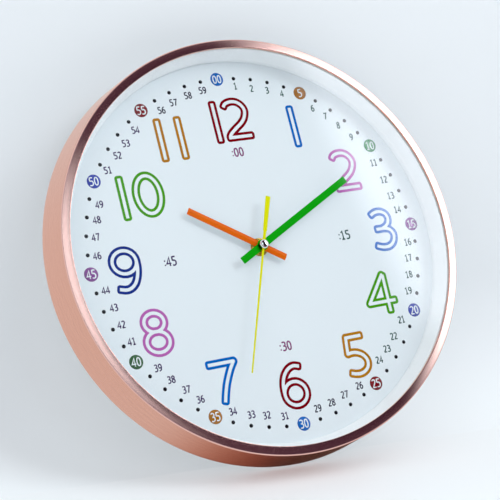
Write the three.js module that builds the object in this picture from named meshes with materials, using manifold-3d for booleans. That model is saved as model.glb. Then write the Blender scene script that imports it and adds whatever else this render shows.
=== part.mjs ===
// Round wall clock with coloured teaching numerals, in millimetres, +Z up.
// The dial faces -Y and the wall is the plane y = 0. The origin is the seat of the
// nail in the keyhole of the hanger plate. "Front" values below are distances in
// front of the wall, so a point at front f has y = -f.
import * as THREE from 'three';
import { mergeVertices } from 'three/addons/utils/BufferGeometryUtils.js';
import Module from 'manifold-3d';

const wasm = await Module();
wasm.setup();

// Driving dimensions
const caseRearRadius = 150.2;
const caseTaper = 2.7;
const caseWall = 1.2;
const caseLipWidth = 6.4;
const caseLipThickness = 1.3;
const caseCrown = 0.3;
const caseCornerRadius = 1.2;
const caseHemWidth = 2.6;
const caseHemThickness = 1.2;
const caseRear = 3.5;

const seatGap = 0.3;
const looseGap = 1.0;
const cutOverrun = 1.0;

const gasketThickness = 0.6;
const gasketWidth = 3.2;
const glassThickness = 2.0;
const spacerHeight = 14.6;
const spacerTaper = 4.1;
const spacerLip = 4.0;
const spacerWall = 1.6;
const dialThickness = 1.5;

const coverWall = 2.0;
const coverFlangeRear = 6.0;
const coverPlateauInset = 16.4;
const coverSkirtInset = 0.7;
const coverWindowRim = 4.0;
const coverCornerRadius = 4.0;

const clipCount = 4;
const clipWidth = 11.0;
const clipLength = 14.0;
const clipThickness = 1.0;
const clipCornerRadius = 2.75;
const clipScrewSetback = 6.0;
const screwShank = 1.2;
const screwHead = 2.8;
const screwHeadHeight = 1.4;
const screwCrownShare = 0.7;
const screwEdgeShare = 0.35;
const screwReach = 7.0;
const screwSlotWidth = 0.7;
const screwSlotDepth = 0.7;
const screwBossRadius = 3.4;

const hangInset = 30.0;
const keyholeEntryRadius = 4.6;
const keyholeSlotWidth = 4.8;
const keyholeTravel = 8.5;
const hangerWidth = 44.0;
const hangerHeight = 21.0;
const hangerMarginTop = 4.0;
const hangerThickness = 1.0;
const hangerInset = 0.2;
const hangerCornerRadius = 3.0;
const hangerScrewSetback = 5.0;
const hangerPocketInset = 11.0;
const hangerPocketDepth = 8.0;
const hangerBlockRim = 3.0;
const hangerScrewReach = 6.0;

const batteryDiameter = 14.5;
const batteryLength = 50.5;
const batteryNubRadius = 2.7;
const batteryNubHeight = 1.4;
const batteryInset = 0.5;
const contactSpace = 1.5;
const contactThickness = 0.4;
const contactWidth = 10.0;
const contactBump = 0.5;
const contactBumpTip = 1.7;
const contactBumpFoot = 2.5;

const movementWall = 1.2;
const wheelMargin = 1.4;
const movementRear = 0.5;
const movementCornerRadius = 3.0;
const movementBaseDepth = 8.0;
const movementPostRadius = 1.8;
const movementPostSetback = 4.5;

const rubberWasherThickness = 1.0;
const rubberWasherRadius = 8.0;
const bushingRadius = 3.9;
const bushingBore = 2.7;
const bushingFlangeRadius = 6.0;
const bushingFlangeThickness = 0.8;
const bushingProud = 3.2;
const washerRadius = 6.5;
const washerThickness = 0.5;
const nutAcrossFlats = 11.0;
const nutThickness = 2.0;

const hourPipeRadius = 2.4;
const hourPipeBore = 1.8;
const minutePipeRadius = 1.5;
const minutePipeBore = 0.9;
const secondShaftRadius = 0.6;
const arborRadius = 0.45;
const pivotGap = 0.12;
const pipeProud = 0.3;

const wheelThickness = 0.7;
const pinionThickness = 1.1;
const layerGap = 0.8;
const runGap = 0.3;
const trainPlateThickness = 0.8;

const motionModule = 0.54;
const secondModule = 0.375;
const centreModule = 0.333;
const stepModule = 0.3125;
const hourTeeth = 32;
const hourPinionTeeth = 8;
const minuteTeeth = 30;
const cannonTeeth = 10;
const settingTeeth = 16;
const centreTeeth = 45;
const thirdPinionTeeth = 6;
const thirdTeeth = 48;
const secondPinionTeeth = 6;
const secondTeeth = 40;
const stepPinionTeeth = 8;
const stepTeeth = 48;
const rotorPinionTeeth = 8;

const magnetRadius = 2.4;
const magnetHeight = 2.2;
const statorThickness = 0.8;
const statorBore = 3.0;
const statorRim = 1.4;
const statorArmWidth = 3.2;
const statorBarHeight = 3.6;
const statorBarRise = 2.05;
const coilRise = 9.5;
const coilLength = 17.0;
const coilRadius = 2.7;
const coilFlange = 0.8;
const coilFlangeRadius = 3.0;
const coilCoreWidth = 2.2;
const coilCoreBore = 1.5;
const bobbinWall = 0.5;
const boardWidth = 9.4;
const boardHeight = 30.0;
const boardThickness = 1.0;
const boardCornerRadius = 0.5;
const chipRadius = 2.6;
const chipHeight = 1.3;
const chipCrownShare = 0.6;
const chipShoulderShare = 0.9;
const crystalRadius = 1.0;
const crystalLength = 6.0;
const crystalRise = 6.0;

const settingShaftRadius = 1.3;
const knobRadius = 5.4;
const knobHeight = 2.8;
const knobNotchCount = 12;
const knobNotchRadius = 0.5;
const knobGripWidth = 5.4;
const knobGripDepth = 0.5;
const knobGripHeight = 1.0;
const knobWellGap = 1.0;
const socketWall = 0.6;

const handRise = 3.9;
const handSpacing = 1.85;
const hourHandLength = 57.7;
const hourHandTail = 19.5;
const hourHandWidth = 5.0;
const hourHandEdge = 0.35;
const hourHandRidge = 0.85;
const minuteHandLength = 86.0;
const minuteHandTail = 20.0;
const minuteHandWidth = 5.1;
const minuteHandThickness = 0.45;
const handBossRadius = 4.0;
const secondHandLength = 91.5;
const secondHandTip = 1.0;
const secondHandRoot = 1.6;
const secondHandThickness = 0.4;
const secondNeckWidth = 2.1;
const secondNeckLength = 10.0;
const secondWeightLength = 25.5;
const secondWeightInner = 2.9;
const secondWeightOuter = 3.6;
const secondBossRadius = 2.6;
const capRadius = 3.2;
const capHeight = 2.0;
const capCollar = 0.7;

// Clock angles in degrees, clockwise from 12 as seen from the front
const fullTurn = 360.0;
const halfTurn = 180.0;
const hourHandAngle = 303.5;
const minuteHandAngle = 63.6;
const secondHandAngle = 200.6;
const minuteWheelBearing = 90.0;
const settingBearing = 40.0;
const thirdBearing = 300.0;
const stepBearing = 75.0;
const rotorBearing = 340.0;
const clipFirstBearing = 45.0;

// Facets round a circle
const rimFacets = 64;
const coverFacets = 60;
const hiddenFacets = 48;
const smallFacets = 18;
const tinyFacets = 10;
const washerFacets = 28;
const notchFacets = 6;
const hexSides = 6;
const arcSteps = 3;

// Tooth form: radial reach in modules, half widths as shares of the pitch
const addendumShare = 0.85;
const dedendumShare = 1.25;
const wheelRootShare = 0.27;
const wheelTipShare = 0.12;
const pinionRootShare = 0.24;
const pinionTipShare = 0.09;

// Radii that follow the case, and the drop from the nail to the dial's centre
const caseFrontRadius = caseRearRadius - caseTaper;
const caseLipBore = caseFrontRadius - caseLipWidth;
const spacerBore = caseLipBore - spacerTaper;
const insertRadius = caseRearRadius - caseWall - caseHemWidth - seatGap;
const glassRadius = Math.min(insertRadius, caseFrontRadius - caseWall - seatGap) - seatGap;
const clipOuter = caseRearRadius - caseWall - seatGap - seatGap;
const coverPlateauRadius = clipOuter - clipLength - coverPlateauInset;
const coverSkirtRadius = glassRadius - coverSkirtInset;
const hangDrop = coverPlateauRadius - hangInset;

// Depth stack, in front of the wall
const movementDepth = movementWall + seatGap + batteryDiameter + batteryInset;
const movementFront = movementRear + movementDepth;
const dialRear = movementFront + rubberWasherThickness;
const dialFace = dialRear + dialThickness;
const glassRear = dialFace + spacerHeight;
const glassFront = glassRear + glassThickness;
const gasketFront = glassFront + gasketThickness;
const caseFront = gasketFront + caseLipThickness;
const hemFront = caseRear + caseHemThickness;
const coverFlangeFront = coverFlangeRear + coverWall;

// Pitch sizes of the hand work; the housing leaves room for its largest wheel
const centreDistance = (a, b, size) => size * (a + b) / 2;
const motionDistance = centreDistance(cannonTeeth, minuteTeeth, motionModule);
const hourModule = 2 * motionDistance / (hourTeeth + hourPinionTeeth);
const wheelRoom = hourModule * (hourTeeth / 2 + addendumShare) + wheelMargin;
const bayHeight = batteryDiameter + seatGap + seatGap + movementWall;
const movementHeight = 2 * (wheelRoom + bayHeight + movementWall);

// Depths inside the movement, behind its front face
const movementWidth = batteryLength + contactSpace + contactSpace + movementWall + movementWall;
const depthOf = (behind) => movementFront - behind;
const hourWheelTop = movementWall + bushingFlangeThickness + runGap;
const minuteWheelTop = hourWheelTop + wheelThickness + layerGap - runGap;
const trainPlateTop = minuteWheelTop + wheelThickness + layerGap;
const trainPlateRear = trainPlateTop + trainPlateThickness;
const centreWheelTop = trainPlateRear + layerGap - runGap;
const thirdWheelTop = centreWheelTop + wheelThickness + layerGap;
const secondWheelTop = thirdWheelTop + wheelThickness + layerGap;
const stepWheelTop = secondWheelTop + wheelThickness + layerGap;
const coverCeiling = movementDepth - movementWall;
const arborEnd = coverCeiling - runGap;
const arborStart = trainPlateTop + pivotGap;
const bayWallTop = -wheelRoom;
const bayTop = bayWallTop - movementWall;

// Shared shapes

// A closed solid made of a shape's triangles, with shared vertices merged.
function toSolid(geometry) {
  const bare = geometry.clone();
  bare.deleteAttribute('normal');
  bare.deleteAttribute('uv');
  const merged = mergeVertices(bare);
  return new wasm.Manifold(new wasm.Mesh({
    numProp: 3,
    vertProperties: new Float32Array(merged.attributes.position.array),
    triVerts: new Uint32Array(merged.index.array),
  }));
}

// The geometry of a solid after joins and cuts.
function toGeometry(solid) {
  const mesh = solid.getMesh();
  const geometry = new THREE.BufferGeometry();
  geometry.setAttribute('position', new THREE.BufferAttribute(mesh.vertProperties, mesh.numProp));
  geometry.setIndex(new THREE.BufferAttribute(mesh.triVerts, 1));
  geometry.computeVertexNormals();
  return geometry;
}

function join(...geometries) {
  const solids = geometries.flat().map(toSolid);
  return toGeometry(solids.reduce((whole, solid) => whole.add(solid)));
}

function cut(body, ...tools) {
  const solids = tools.flat().map(toSolid);
  return toGeometry(solids.reduce((whole, solid) => whole.subtract(solid), toSolid(body)));
}

// Swaps two corners of every triangle where the shell faces inwards.
function faceOutwards(geometry) {
  const merged = mergeVertices(geometry);
  const place = merged.attributes.position;
  const corners = merged.index.array;
  const [a, b, c] = [new THREE.Vector3(), new THREE.Vector3(), new THREE.Vector3()];
  let volume = 0;
  for (let i = 0; i < corners.length; i += 3) {
    a.fromBufferAttribute(place, corners[i]);
    b.fromBufferAttribute(place, corners[i + 1]);
    c.fromBufferAttribute(place, corners[i + 2]);
    volume += a.dot(b.cross(c));
  }
  if (volume < 0) {
    for (let i = 0; i < corners.length; i += 3) {
      [corners[i], corners[i + 1]] = [corners[i + 1], corners[i]];
    }
  }
  return merged;
}

// A profile of [radius, front] corners turned about the clock's axis. It closes on
// itself, or on the axis where it starts there.
function revolve(profile, facets) {
  const corners = profile.map(([radius, front]) => new THREE.Vector2(radius, -front));
  if (profile[0][0] > 0) {
    corners.push(corners[0].clone());
  }
  const lathe = new THREE.LatheGeometry(corners, facets);
  lathe.deleteAttribute('normal');
  lathe.deleteAttribute('uv');
  return faceOutwards(dropSlivers(mergeVertices(lathe)));
}

// Triangles that lost an edge where the profile meets the axis are dropped.
function dropSlivers(geometry) {
  const kept = [];
  const corners = geometry.index.array;
  for (let i = 0; i < corners.length; i += 3) {
    const [a, b, c] = [corners[i], corners[i + 1], corners[i + 2]];
    if (a !== b && b !== c && c !== a) {
      kept.push(a, b, c);
    }
  }
  geometry.setIndex(kept);
  return geometry;
}

function tube(bore, radius, rear, front, facets) {
  return revolve([[bore, rear], [radius, rear], [radius, front], [bore, front]], facets);
}

function rod(radius, rear, front, facets) {
  return revolve([[0, rear], [radius, rear], [radius, front], [0, front]], facets);
}

// A shape drawn as seen from the front, carried from its rear to its front face.
function plate(shape, rear, front) {
  const geometry = new THREE.ExtrudeGeometry(shape, { depth: front - rear, bevelEnabled: false });
  geometry.rotateX(Math.PI / 2);
  geometry.translate(0, -rear, 0);
  return geometry;
}

function outline(corners) {
  return new THREE.Shape(corners.map(([x, z]) => new THREE.Vector2(x, z)));
}

// Points of an arc between two angles, both ends included.
function arc(x, z, radius, from, to, steps) {
  return Array.from({ length: steps + 1 }, (_, i) => {
    const angle = from + (to - from) * i / steps;
    return [x + radius * Math.cos(angle), z + radius * Math.sin(angle)];
  });
}

function circle(radius, x = 0, z = 0, facets = tinyFacets) {
  return outline(arc(x, z, radius, 0, Math.PI * 2, facets).slice(1));
}

// A rectangle with round corners about its own centre.
function roundedRectangle(width, height, corner, x = 0, z = 0) {
  const sides = [[1, -1], [1, 1], [-1, 1], [-1, -1]];
  return outline(sides.flatMap(([right, up], i) => arc(
    x + right * (width / 2 - corner),
    z + up * (height / 2 - corner),
    corner,
    (i - 1) * Math.PI / 2,
    i * Math.PI / 2,
    arcSteps,
  )));
}

// A box between two corners given as [x, front, z].
function block(low, high) {
  const size = high.map((value, i) => value - low[i]);
  const geometry = new THREE.BoxGeometry(...size);
  geometry.translate(low[0] + size[0] / 2, -(low[1] + size[1] / 2), low[2] + size[2] / 2);
  return geometry;
}

function moved(geometry, x, z) {
  const copy = geometry.clone();
  copy.translate(x, 0, z);
  return copy;
}

function turned(geometry, angle) {
  const copy = geometry.clone();
  copy.rotateY(angle);
  return copy;
}

const radians = (degrees) => THREE.MathUtils.degToRad(degrees);

// The point at a distance and clock bearing from another point.
function along(from, distance, bearing) {
  const angle = radians(bearing);
  return [from[0] + distance * Math.sin(angle), from[1] + distance * Math.cos(angle)];
}

// Four corners a tooth, with one tooth pointing to 12 before the phase is added.
function gearShape(teeth, size, shares, phase) {
  const pitch = Math.PI * 2 / teeth;
  const tip = size * (teeth / 2 + addendumShare);
  const root = size * (teeth / 2 - dedendumShare);
  const corners = [];
  for (let i = 0; i < teeth; i += 1) {
    const middle = Math.PI / 2 - phase - i * pitch;
    const steps = [[root, shares.root], [tip, shares.tip], [tip, -shares.tip], [root, -shares.root]];
    for (const [radius, share] of steps) {
      const angle = middle + share * pitch;
      corners.push([radius * Math.cos(angle), radius * Math.sin(angle)]);
    }
  }
  return outline(corners.reverse());
}

const wheelShares = { root: wheelRootShare, tip: wheelTipShare };
const pinionShares = { root: pinionRootShare, tip: pinionTipShare };

function wheel(teeth, size, top, phase) {
  return plate(gearShape(teeth, size, wheelShares, phase), depthOf(top + wheelThickness), depthOf(top));
}

// A pinion is thicker than the wheel it meets and stands proud of both its faces.
function pinion(teeth, size, top, phase) {
  const proud = (pinionThickness - wheelThickness) / 2;
  const front = depthOf(top - proud);
  return plate(gearShape(teeth, size, pinionShares, phase), front - pinionThickness, front);
}

// The phase that puts a gap of the second gear at the tooth of the first.
function meshPhase(teeth, phase, otherTeeth, bearing) {
  const pitch = Math.PI * 2 / teeth;
  const otherPitch = Math.PI * 2 / otherTeeth;
  const past = (bearing - phase) / pitch;
  const part = past - Math.floor(past);
  return bearing + Math.PI + part * otherPitch + otherPitch / 2;
}

// Wheel places in the movement, seen from the front
const shaftPlace = [0, 0];
const minuteWheelPlace = along(shaftPlace, motionDistance, minuteWheelBearing);
const settingDistance = centreDistance(minuteTeeth, settingTeeth, motionModule);
const settingPlace = along(minuteWheelPlace, settingDistance, settingBearing);
const thirdDistance = centreDistance(centreTeeth, thirdPinionTeeth, centreModule);
const thirdModule = 2 * thirdDistance / (secondPinionTeeth + thirdTeeth);
const thirdPlace = along(shaftPlace, thirdDistance, thirdBearing);
const stepDistance = centreDistance(secondTeeth, stepPinionTeeth, secondModule);
const stepPlace = along(shaftPlace, stepDistance, stepBearing);
const rotorDistance = centreDistance(stepTeeth, rotorPinionTeeth, stepModule);
const rotorPlace = along(stepPlace, rotorDistance, rotorBearing);
const pivotPlaces = [thirdPlace, stepPlace, rotorPlace];

// Tooth phases: each gear is turned to meet the one before it
const cannonPhase = meshPhase(minuteTeeth, 0, cannonTeeth, radians(minuteWheelBearing + halfTurn));
const settingPhase = meshPhase(minuteTeeth, 0, settingTeeth, radians(settingBearing));
const hourPhase = meshPhase(hourPinionTeeth, 0, hourTeeth, radians(minuteWheelBearing + halfTurn));
const thirdPinionPhase = meshPhase(centreTeeth, 0, thirdPinionTeeth, radians(thirdBearing));
const thirdPhase = meshPhase(secondPinionTeeth, 0, thirdTeeth, radians(thirdBearing));
const stepPinionPhase = meshPhase(secondTeeth, 0, stepPinionTeeth, radians(stepBearing));
const rotorPinionPhase = meshPhase(stepTeeth, 0, rotorPinionTeeth, radians(rotorBearing));

// Hand heights, in front of the wall
const hourHandRear = dialFace + handRise;
const minuteHandRear = hourHandRear + handSpacing;
const secondHandRear = minuteHandRear + handSpacing;
const secondHandFront = secondHandRear + secondHandThickness;

// Case

// Spun metal ring: a crowned front lip, a side wall that opens slightly to the back,
// and a hem turned in at its rear edge.
function caseRing() {
  const lipMiddle = (caseLipBore + caseFrontRadius) / 2;
  const shoulder = caseFront - caseCrown;
  const innerFront = caseFrontRadius - caseWall;
  const innerRear = caseRearRadius - caseWall;
  const profile = [
    [caseLipBore, gasketFront],
    [caseLipBore, shoulder],
    [lipMiddle, caseFront],
    ...arc(caseFrontRadius - caseCornerRadius, shoulder - caseCornerRadius, caseCornerRadius,
      Math.PI / 2, 0, arcSteps),
    [caseRearRadius, caseRear],
    [innerRear - caseHemWidth, caseRear],
    [innerRear - caseHemWidth, hemFront],
    [innerRear, hemFront],
    [innerFront, gasketFront],
  ];
  return revolve(profile, rimFacets);
}

function lensGasket() {
  return tube(glassRadius - gasketWidth, glassRadius, glassFront, gasketFront, hiddenFacets);
}

const glassLens = () => rod(glassRadius, glassRear, glassFront, rimFacets);

// White ring between dial and glass: an upright lip at the dial, then a cone that
// opens to the glass, with a foot and a head flange behind it.
function innerRing() {
  const foot = dialFace + spacerWall;
  const head = glassRear - spacerWall;
  const lipFront = dialFace + spacerLip;
  const coneOuter = caseLipBore;
  return revolve([
    [spacerBore, dialFace],
    [glassRadius, dialFace],
    [glassRadius, foot],
    [spacerBore + spacerWall, foot],
    [spacerBore + spacerWall, lipFront],
    [coneOuter + spacerWall, head],
    [glassRadius, head],
    [glassRadius, glassRear],
    [coneOuter, glassRear],
    [spacerBore, lipFront],
  ], rimFacets);
}

function dialPlate() {
  return tube(bushingRadius + seatGap, glassRadius, dialRear, dialFace, hiddenFacets);
}

// Places of the retaining clips: their screws stand inside the rim of the case.
const clipScrewRadius = clipOuter - clipLength + clipScrewSetback;
const clipBearings = Array.from({ length: clipCount },
  (_, i) => clipFirstBearing + fullTurn * i / clipCount);

const hangerBottom = hangDrop + keyholeSlotWidth / 2 + hangerMarginTop - hangerHeight;
const hangerMiddle = hangerBottom + hangerHeight / 2;
const hangerRebate = hangerInset + hangerThickness;
const hangerScrewPlaces = [-1, 1].map((side) => [
  side * (hangerWidth / 2 - hangerScrewSetback),
  hangerMiddle,
]);

// Moulded back: a raised plateau with a window for the movement, a flange inside the
// case and a skirt that presses the dial forwards.
function backCover() {
  const stepInner = coverPlateauRadius - coverWall;
  const shell = revolve([
    [0, 0],
    [coverPlateauRadius, 0],
    [coverPlateauRadius, coverFlangeRear],
    [insertRadius, coverFlangeRear],
    [insertRadius, coverFlangeFront],
    [coverSkirtRadius, coverFlangeFront],
    [coverSkirtRadius, dialRear],
    [coverSkirtRadius - coverWall, dialRear],
    [coverSkirtRadius - coverWall, coverFlangeFront],
    [stepInner, coverFlangeFront],
    [stepInner, coverWall],
    [0, coverWall],
  ], coverFacets);
  const windowWidth = movementWidth + looseGap + looseGap;
  const windowHeight = movementHeight + looseGap + looseGap;
  const rim = coverWall + coverWall;
  const collar = plate(roundedRectangle(windowWidth + rim, windowHeight + rim, coverCornerRadius),
    0, coverWall + coverWindowRim);
  const windowHole = plate(roundedRectangle(windowWidth, windowHeight, coverCornerRadius),
    -cutOverrun, coverWall + coverWindowRim + cutOverrun);
  const blockDepth = hangerPocketDepth + hangerRebate + coverWall;
  const blockShape = roundedRectangle(hangerWidth + hangerBlockRim, hangerHeight + hangerBlockRim,
    hangerCornerRadius, 0, hangerMiddle);
  const hangerBlock = plate(blockShape, 0, blockDepth);
  const rebate = plate(roundedRectangle(hangerWidth + seatGap + seatGap, hangerHeight + seatGap + seatGap,
    hangerCornerRadius, 0, hangerMiddle), -cutOverrun, hangerRebate);
  const pocketSide = hangerWidth / 2 - hangerPocketInset;
  const pocket = block(
    [-pocketSide, 0, hangerBottom],
    [pocketSide, hangerRebate + hangerPocketDepth, hangerBottom + hangerHeight],
  );
  const bossFront = coverFlangeRear - clipThickness + screwReach + coverWall;
  const bosses = clipBearings.map((bearing) => {
    const [x, z] = along(shaftPlace, clipScrewRadius, bearing);
    return moved(rod(screwBossRadius, coverFlangeRear, bossFront, tinyFacets), x, z);
  });
  const clipHoles = clipBearings.map((bearing) => {
    const [x, z] = along(shaftPlace, clipScrewRadius, bearing);
    const holeFront = coverFlangeRear - clipThickness + screwReach + seatGap;
    return moved(rod(screwShank + seatGap, coverFlangeRear - cutOverrun, holeFront, tinyFacets), x, z);
  });
  const hangerHoles = hangerScrewPlaces.map(([x, z]) =>
    moved(rod(screwShank + seatGap, 0, hangerInset + hangerScrewReach + seatGap, tinyFacets), x, z));
  const whole = join(shell, collar, hangerBlock, bosses);
  return cut(whole, windowHole, rebate, pocket, clipHoles, hangerHoles);
}

// Screw with its head at the rear: the head's underside is at the given front.
function screw(underHead, reach) {
  const body = revolve([
    [0, underHead - screwHeadHeight],
    [screwHead * screwCrownShare, underHead - screwHeadHeight],
    [screwHead, underHead - screwHeadHeight * screwEdgeShare],
    [screwHead, underHead],
    [screwShank, underHead],
    [screwShank, underHead + reach],
    [0, underHead + reach],
  ], tinyFacets);
  const slotFront = underHead - screwHeadHeight + screwSlotDepth;
  const bars = [0, Math.PI / 2].map((angle) => turned(block(
    [-screwHead / 2, underHead - screwHeadHeight - cutOverrun, -screwSlotWidth / 2],
    [screwHead / 2, slotFront, screwSlotWidth / 2],
  ), angle));
  return cut(body, bars);
}

// Turn-out clip that reaches under the hem of the case.
function retainingClip() {
  const middle = clipOuter - clipLength / 2;
  const shape = roundedRectangle(clipWidth, clipLength, clipCornerRadius, 0, middle);
  shape.holes.push(circle(screwShank + seatGap, 0, clipScrewRadius));
  return plate(shape, coverFlangeRear - clipThickness, coverFlangeRear);
}

const clipScrew = () => moved(screw(coverFlangeRear - clipThickness, screwReach), 0, clipScrewRadius);

// Steel plate with the keyhole: a round entry below and a slot that runs up to the seat.
function hangerPlate() {
  const entry = hangDrop - keyholeTravel;
  const half = keyholeSlotWidth / 2;
  const spread = Math.acos(half / keyholeEntryRadius);
  const keyhole = outline([
    ...arc(0, hangDrop, half, 0, Math.PI, arcSteps + arcSteps),
    ...arc(0, entry, keyholeEntryRadius, Math.PI - spread, Math.PI * 2 + spread, smallFacets),
  ]);
  const shape = roundedRectangle(hangerWidth, hangerHeight, hangerCornerRadius, 0, hangerMiddle);
  shape.holes.push(keyhole);
  for (const [x, z] of hangerScrewPlaces) {
    shape.holes.push(circle(screwShank + seatGap, x, z));
  }
  return plate(shape, hangerInset, hangerRebate);
}

// The thin flat head lies between the plate and the wall plane.
function hangerScrew() {
  const shank = rod(screwShank, hangerInset, hangerInset + hangerScrewReach, tinyFacets);
  const head = revolve([
    [0, 0],
    [screwHead, 0],
    [screwHead, hangerInset],
    [0, hangerInset],
  ], tinyFacets);
  return join(shank, head);
}

// Movement housing

function housingShape(inset) {
  return roundedRectangle(movementWidth - inset - inset, movementHeight - inset - inset,
    movementCornerRadius - inset / 2);
}

const postPlaces = [-1, 1].flatMap((side) => [
  [side * (movementWidth / 2 - movementPostSetback), movementHeight / 2 - movementPostSetback],
  [side * (movementWidth / 2 - movementPostSetback), bayWallTop + movementPostSetback],
]);

// Front half: a tray with posts for the train plate and a pin for the minute wheel.
function movementBase() {
  const outer = plate(housingShape(0), depthOf(movementBaseDepth), movementFront);
  const inner = plate(housingShape(movementWall), depthOf(movementBaseDepth + cutOverrun),
    depthOf(movementWall));
  const hole = rod(bushingRadius + seatGap, depthOf(movementWall + cutOverrun),
    movementFront + cutOverrun, smallFacets);
  const tray = cut(outer, inner, hole);
  const floor = depthOf(movementWall) + pivotGap;
  const posts = postPlaces.map(([x, z]) =>
    moved(rod(movementPostRadius, depthOf(trainPlateTop), floor, tinyFacets), x, z));
  const pin = moved(rod(arborRadius, depthOf(trainPlateTop - runGap), floor, tinyFacets),
    ...minuteWheelPlace);
  const socket = moved(tube(arborRadius + pivotGap, settingShaftRadius,
    depthOf(hourWheelTop), floor, tinyFacets), ...settingPlace);
  return join(tray, posts, pin, socket);
}

const knobFront = movementRear + batteryInset + knobHeight;
const wellRadius = knobRadius + knobWellGap;

// Rear half: walls, a ceiling over the wheels, the battery bay and the knob's well.
function movementCover() {
  const rear = movementRear;
  const front = depthOf(movementBaseDepth);
  const walls = plate(housingShape(0), rear, front);
  const hollow = plate(housingShape(movementWall), rear + movementWall, front + cutOverrun);
  const inside = movementWidth / 2 - movementWall;
  const bay = block(
    [-inside, rear - cutOverrun, -movementHeight / 2 + movementWall],
    [inside, front + cutOverrun, bayTop],
  );
  const shell = cut(walls, hollow, bay);
  const baseFloor = depthOf(movementWall + seatGap);
  const bayWall = block([-inside + seatGap, rear, bayTop], [inside - seatGap, baseFloor, bayWallTop]);
  const bayEnds = [-1, 1].map((side) => block(
    [side * (inside - movementWall / 2) - movementWall, rear, bayTop],
    [side * (inside - movementWall / 2) + movementWall, front, bayWallTop],
  ));
  const cup = moved(rod(wellRadius + movementWall, rear, knobFront + seatGap + movementWall,
    smallFacets), ...settingPlace);
  const well = moved(rod(wellRadius, rear - cutOverrun, knobFront + seatGap, smallFacets),
    ...settingPlace);
  const shaftHole = moved(rod(settingShaftRadius + seatGap, rear - cutOverrun,
    knobFront + seatGap + movementWall + cutOverrun, tinyFacets), ...settingPlace);
  const sockets = [shaftPlace, ...pivotPlaces].map(([x, z]) => {
    const bore = (x === 0 ? secondShaftRadius : arborRadius) + pivotGap;
    const socketFront = depthOf(stepWheelTop + wheelThickness + layerGap);
    return moved(tube(bore, bore + socketWall, rear + movementWall - pivotGap, socketFront,
      tinyFacets), x, z);
  });
  return cut(join(shell, bayWall, bayEnds, cup, sockets), well, shaftHole);
}

// Mid plate that carries the rear pivots of the hand work and the front pivots of
// the going train.
function trainPlate() {
  const inside = movementWidth / 2 - movementWall - seatGap;
  const low = bayWallTop + seatGap;
  const high = movementHeight / 2 - movementWall - seatGap;
  const shape = roundedRectangle(inside + inside, high - low, movementCornerRadius - movementWall / 2,
    0, (low + high) / 2);
  shape.holes.push(circle(minutePipeRadius + seatGap, 0, 0, smallFacets));
  shape.holes.push(circle(settingShaftRadius + seatGap, ...settingPlace));
  for (const [x, z] of pivotPlaces) {
    shape.holes.push(circle(arborRadius + pivotGap, x, z));
  }
  return plate(shape, depthOf(trainPlateRear), depthOf(trainPlateTop));
}

// Threaded bushing: a flange inside the movement and a tube through the dial.
const bushingFront = dialFace + bushingProud;

function threadedBushing() {
  const flangeFront = depthOf(movementWall);
  const flangeRear = flangeFront - bushingFlangeThickness;
  return revolve([
    [bushingBore, flangeRear],
    [bushingFlangeRadius, flangeRear],
    [bushingFlangeRadius, flangeFront],
    [bushingRadius, flangeFront],
    [bushingRadius, bushingFront],
    [bushingBore, bushingFront],
  ], smallFacets);
}

function brassNut() {
  const shape = circle(nutAcrossFlats / 2 / Math.cos(Math.PI / hexSides), 0, 0, hexSides);
  shape.holes.push(circle(bushingRadius + seatGap, 0, 0, smallFacets));
  const rear = dialFace + washerThickness;
  return plate(shape, rear, rear + nutThickness);
}

function washer(radius, rear, front) {
  return tube(bushingRadius + seatGap, radius, rear, front, washerFacets);
}

// Battery and its contacts

const batteryAxisFront = depthOf(movementWall + seatGap) - batteryDiameter / 2;
const batteryAxisZ = -movementHeight / 2 + movementWall + seatGap + batteryDiameter / 2;

// A profile of [radius, x] corners turned about a line along X at a front and height.
function revolveAcross(profile, front, z, facets) {
  const turnedProfile = profile.map(([radius, x]) => [radius, -x]);
  const geometry = revolve(turnedProfile, facets);
  geometry.rotateZ(-Math.PI / 2);
  geometry.translate(0, -front, z);
  return geometry;
}

function battery() {
  const end = batteryLength / 2;
  const canRadius = batteryDiameter / 2;
  return revolveAcross([
    [0, -end],
    [canRadius, -end],
    [canRadius, end - batteryNubHeight],
    [batteryNubRadius, end - batteryNubHeight],
    [batteryNubRadius, end],
    [0, end],
  ], batteryAxisFront, batteryAxisZ, smallFacets);
}

// A leaf against the bay's end wall with a bump towards the cell. Side is -1 or 1.
function batteryContact(side) {
  const wall = movementWidth / 2 - movementWall - seatGap / 2;
  const leafInner = wall - contactThickness;
  const low = batteryAxisZ - contactWidth / 2;
  const leaf = block(
    [Math.min(side * wall, side * leafInner), batteryAxisFront - contactWidth / 2, low],
    [Math.max(side * wall, side * leafInner), batteryAxisFront + contactWidth / 2, low + contactWidth],
  );
  const bump = revolveAcross([
    [0, leafInner - contactBump],
    [contactBumpTip, leafInner - contactBump],
    [contactBumpFoot, leafInner + contactThickness / 2],
    [0, leafInner + contactThickness / 2],
  ], batteryAxisFront, batteryAxisZ, tinyFacets);
  if (side < 0) {
    bump.rotateY(Math.PI);
    bump.translate(0, 0, 2 * batteryAxisZ);
  }
  return join(leaf, bump);
}

// Electric parts

const boardLeft = -movementWidth / 2 + movementWall + seatGap;
const boardTopZ = movementHeight / 2 - movementWall - seatGap - movementPostSetback;
const boardRear = depthOf(trainPlateRear + boardThickness);

function circuitBoard() {
  const shape = roundedRectangle(boardWidth, boardHeight, boardCornerRadius,
    boardLeft + boardWidth / 2, boardTopZ - boardHeight / 2);
  return plate(shape, boardRear, depthOf(trainPlateRear));
}

function controlChip() {
  const base = boardRear;
  const dome = revolve([
    [0, base - chipHeight],
    [chipRadius * chipCrownShare, base - chipHeight * chipShoulderShare],
    [chipRadius * chipShoulderShare, base - chipHeight / 2],
    [chipRadius, base],
    [0, base],
  ], tinyFacets);
  return moved(dome, boardLeft + boardWidth / 2, boardTopZ - boardHeight / 2);
}

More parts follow.
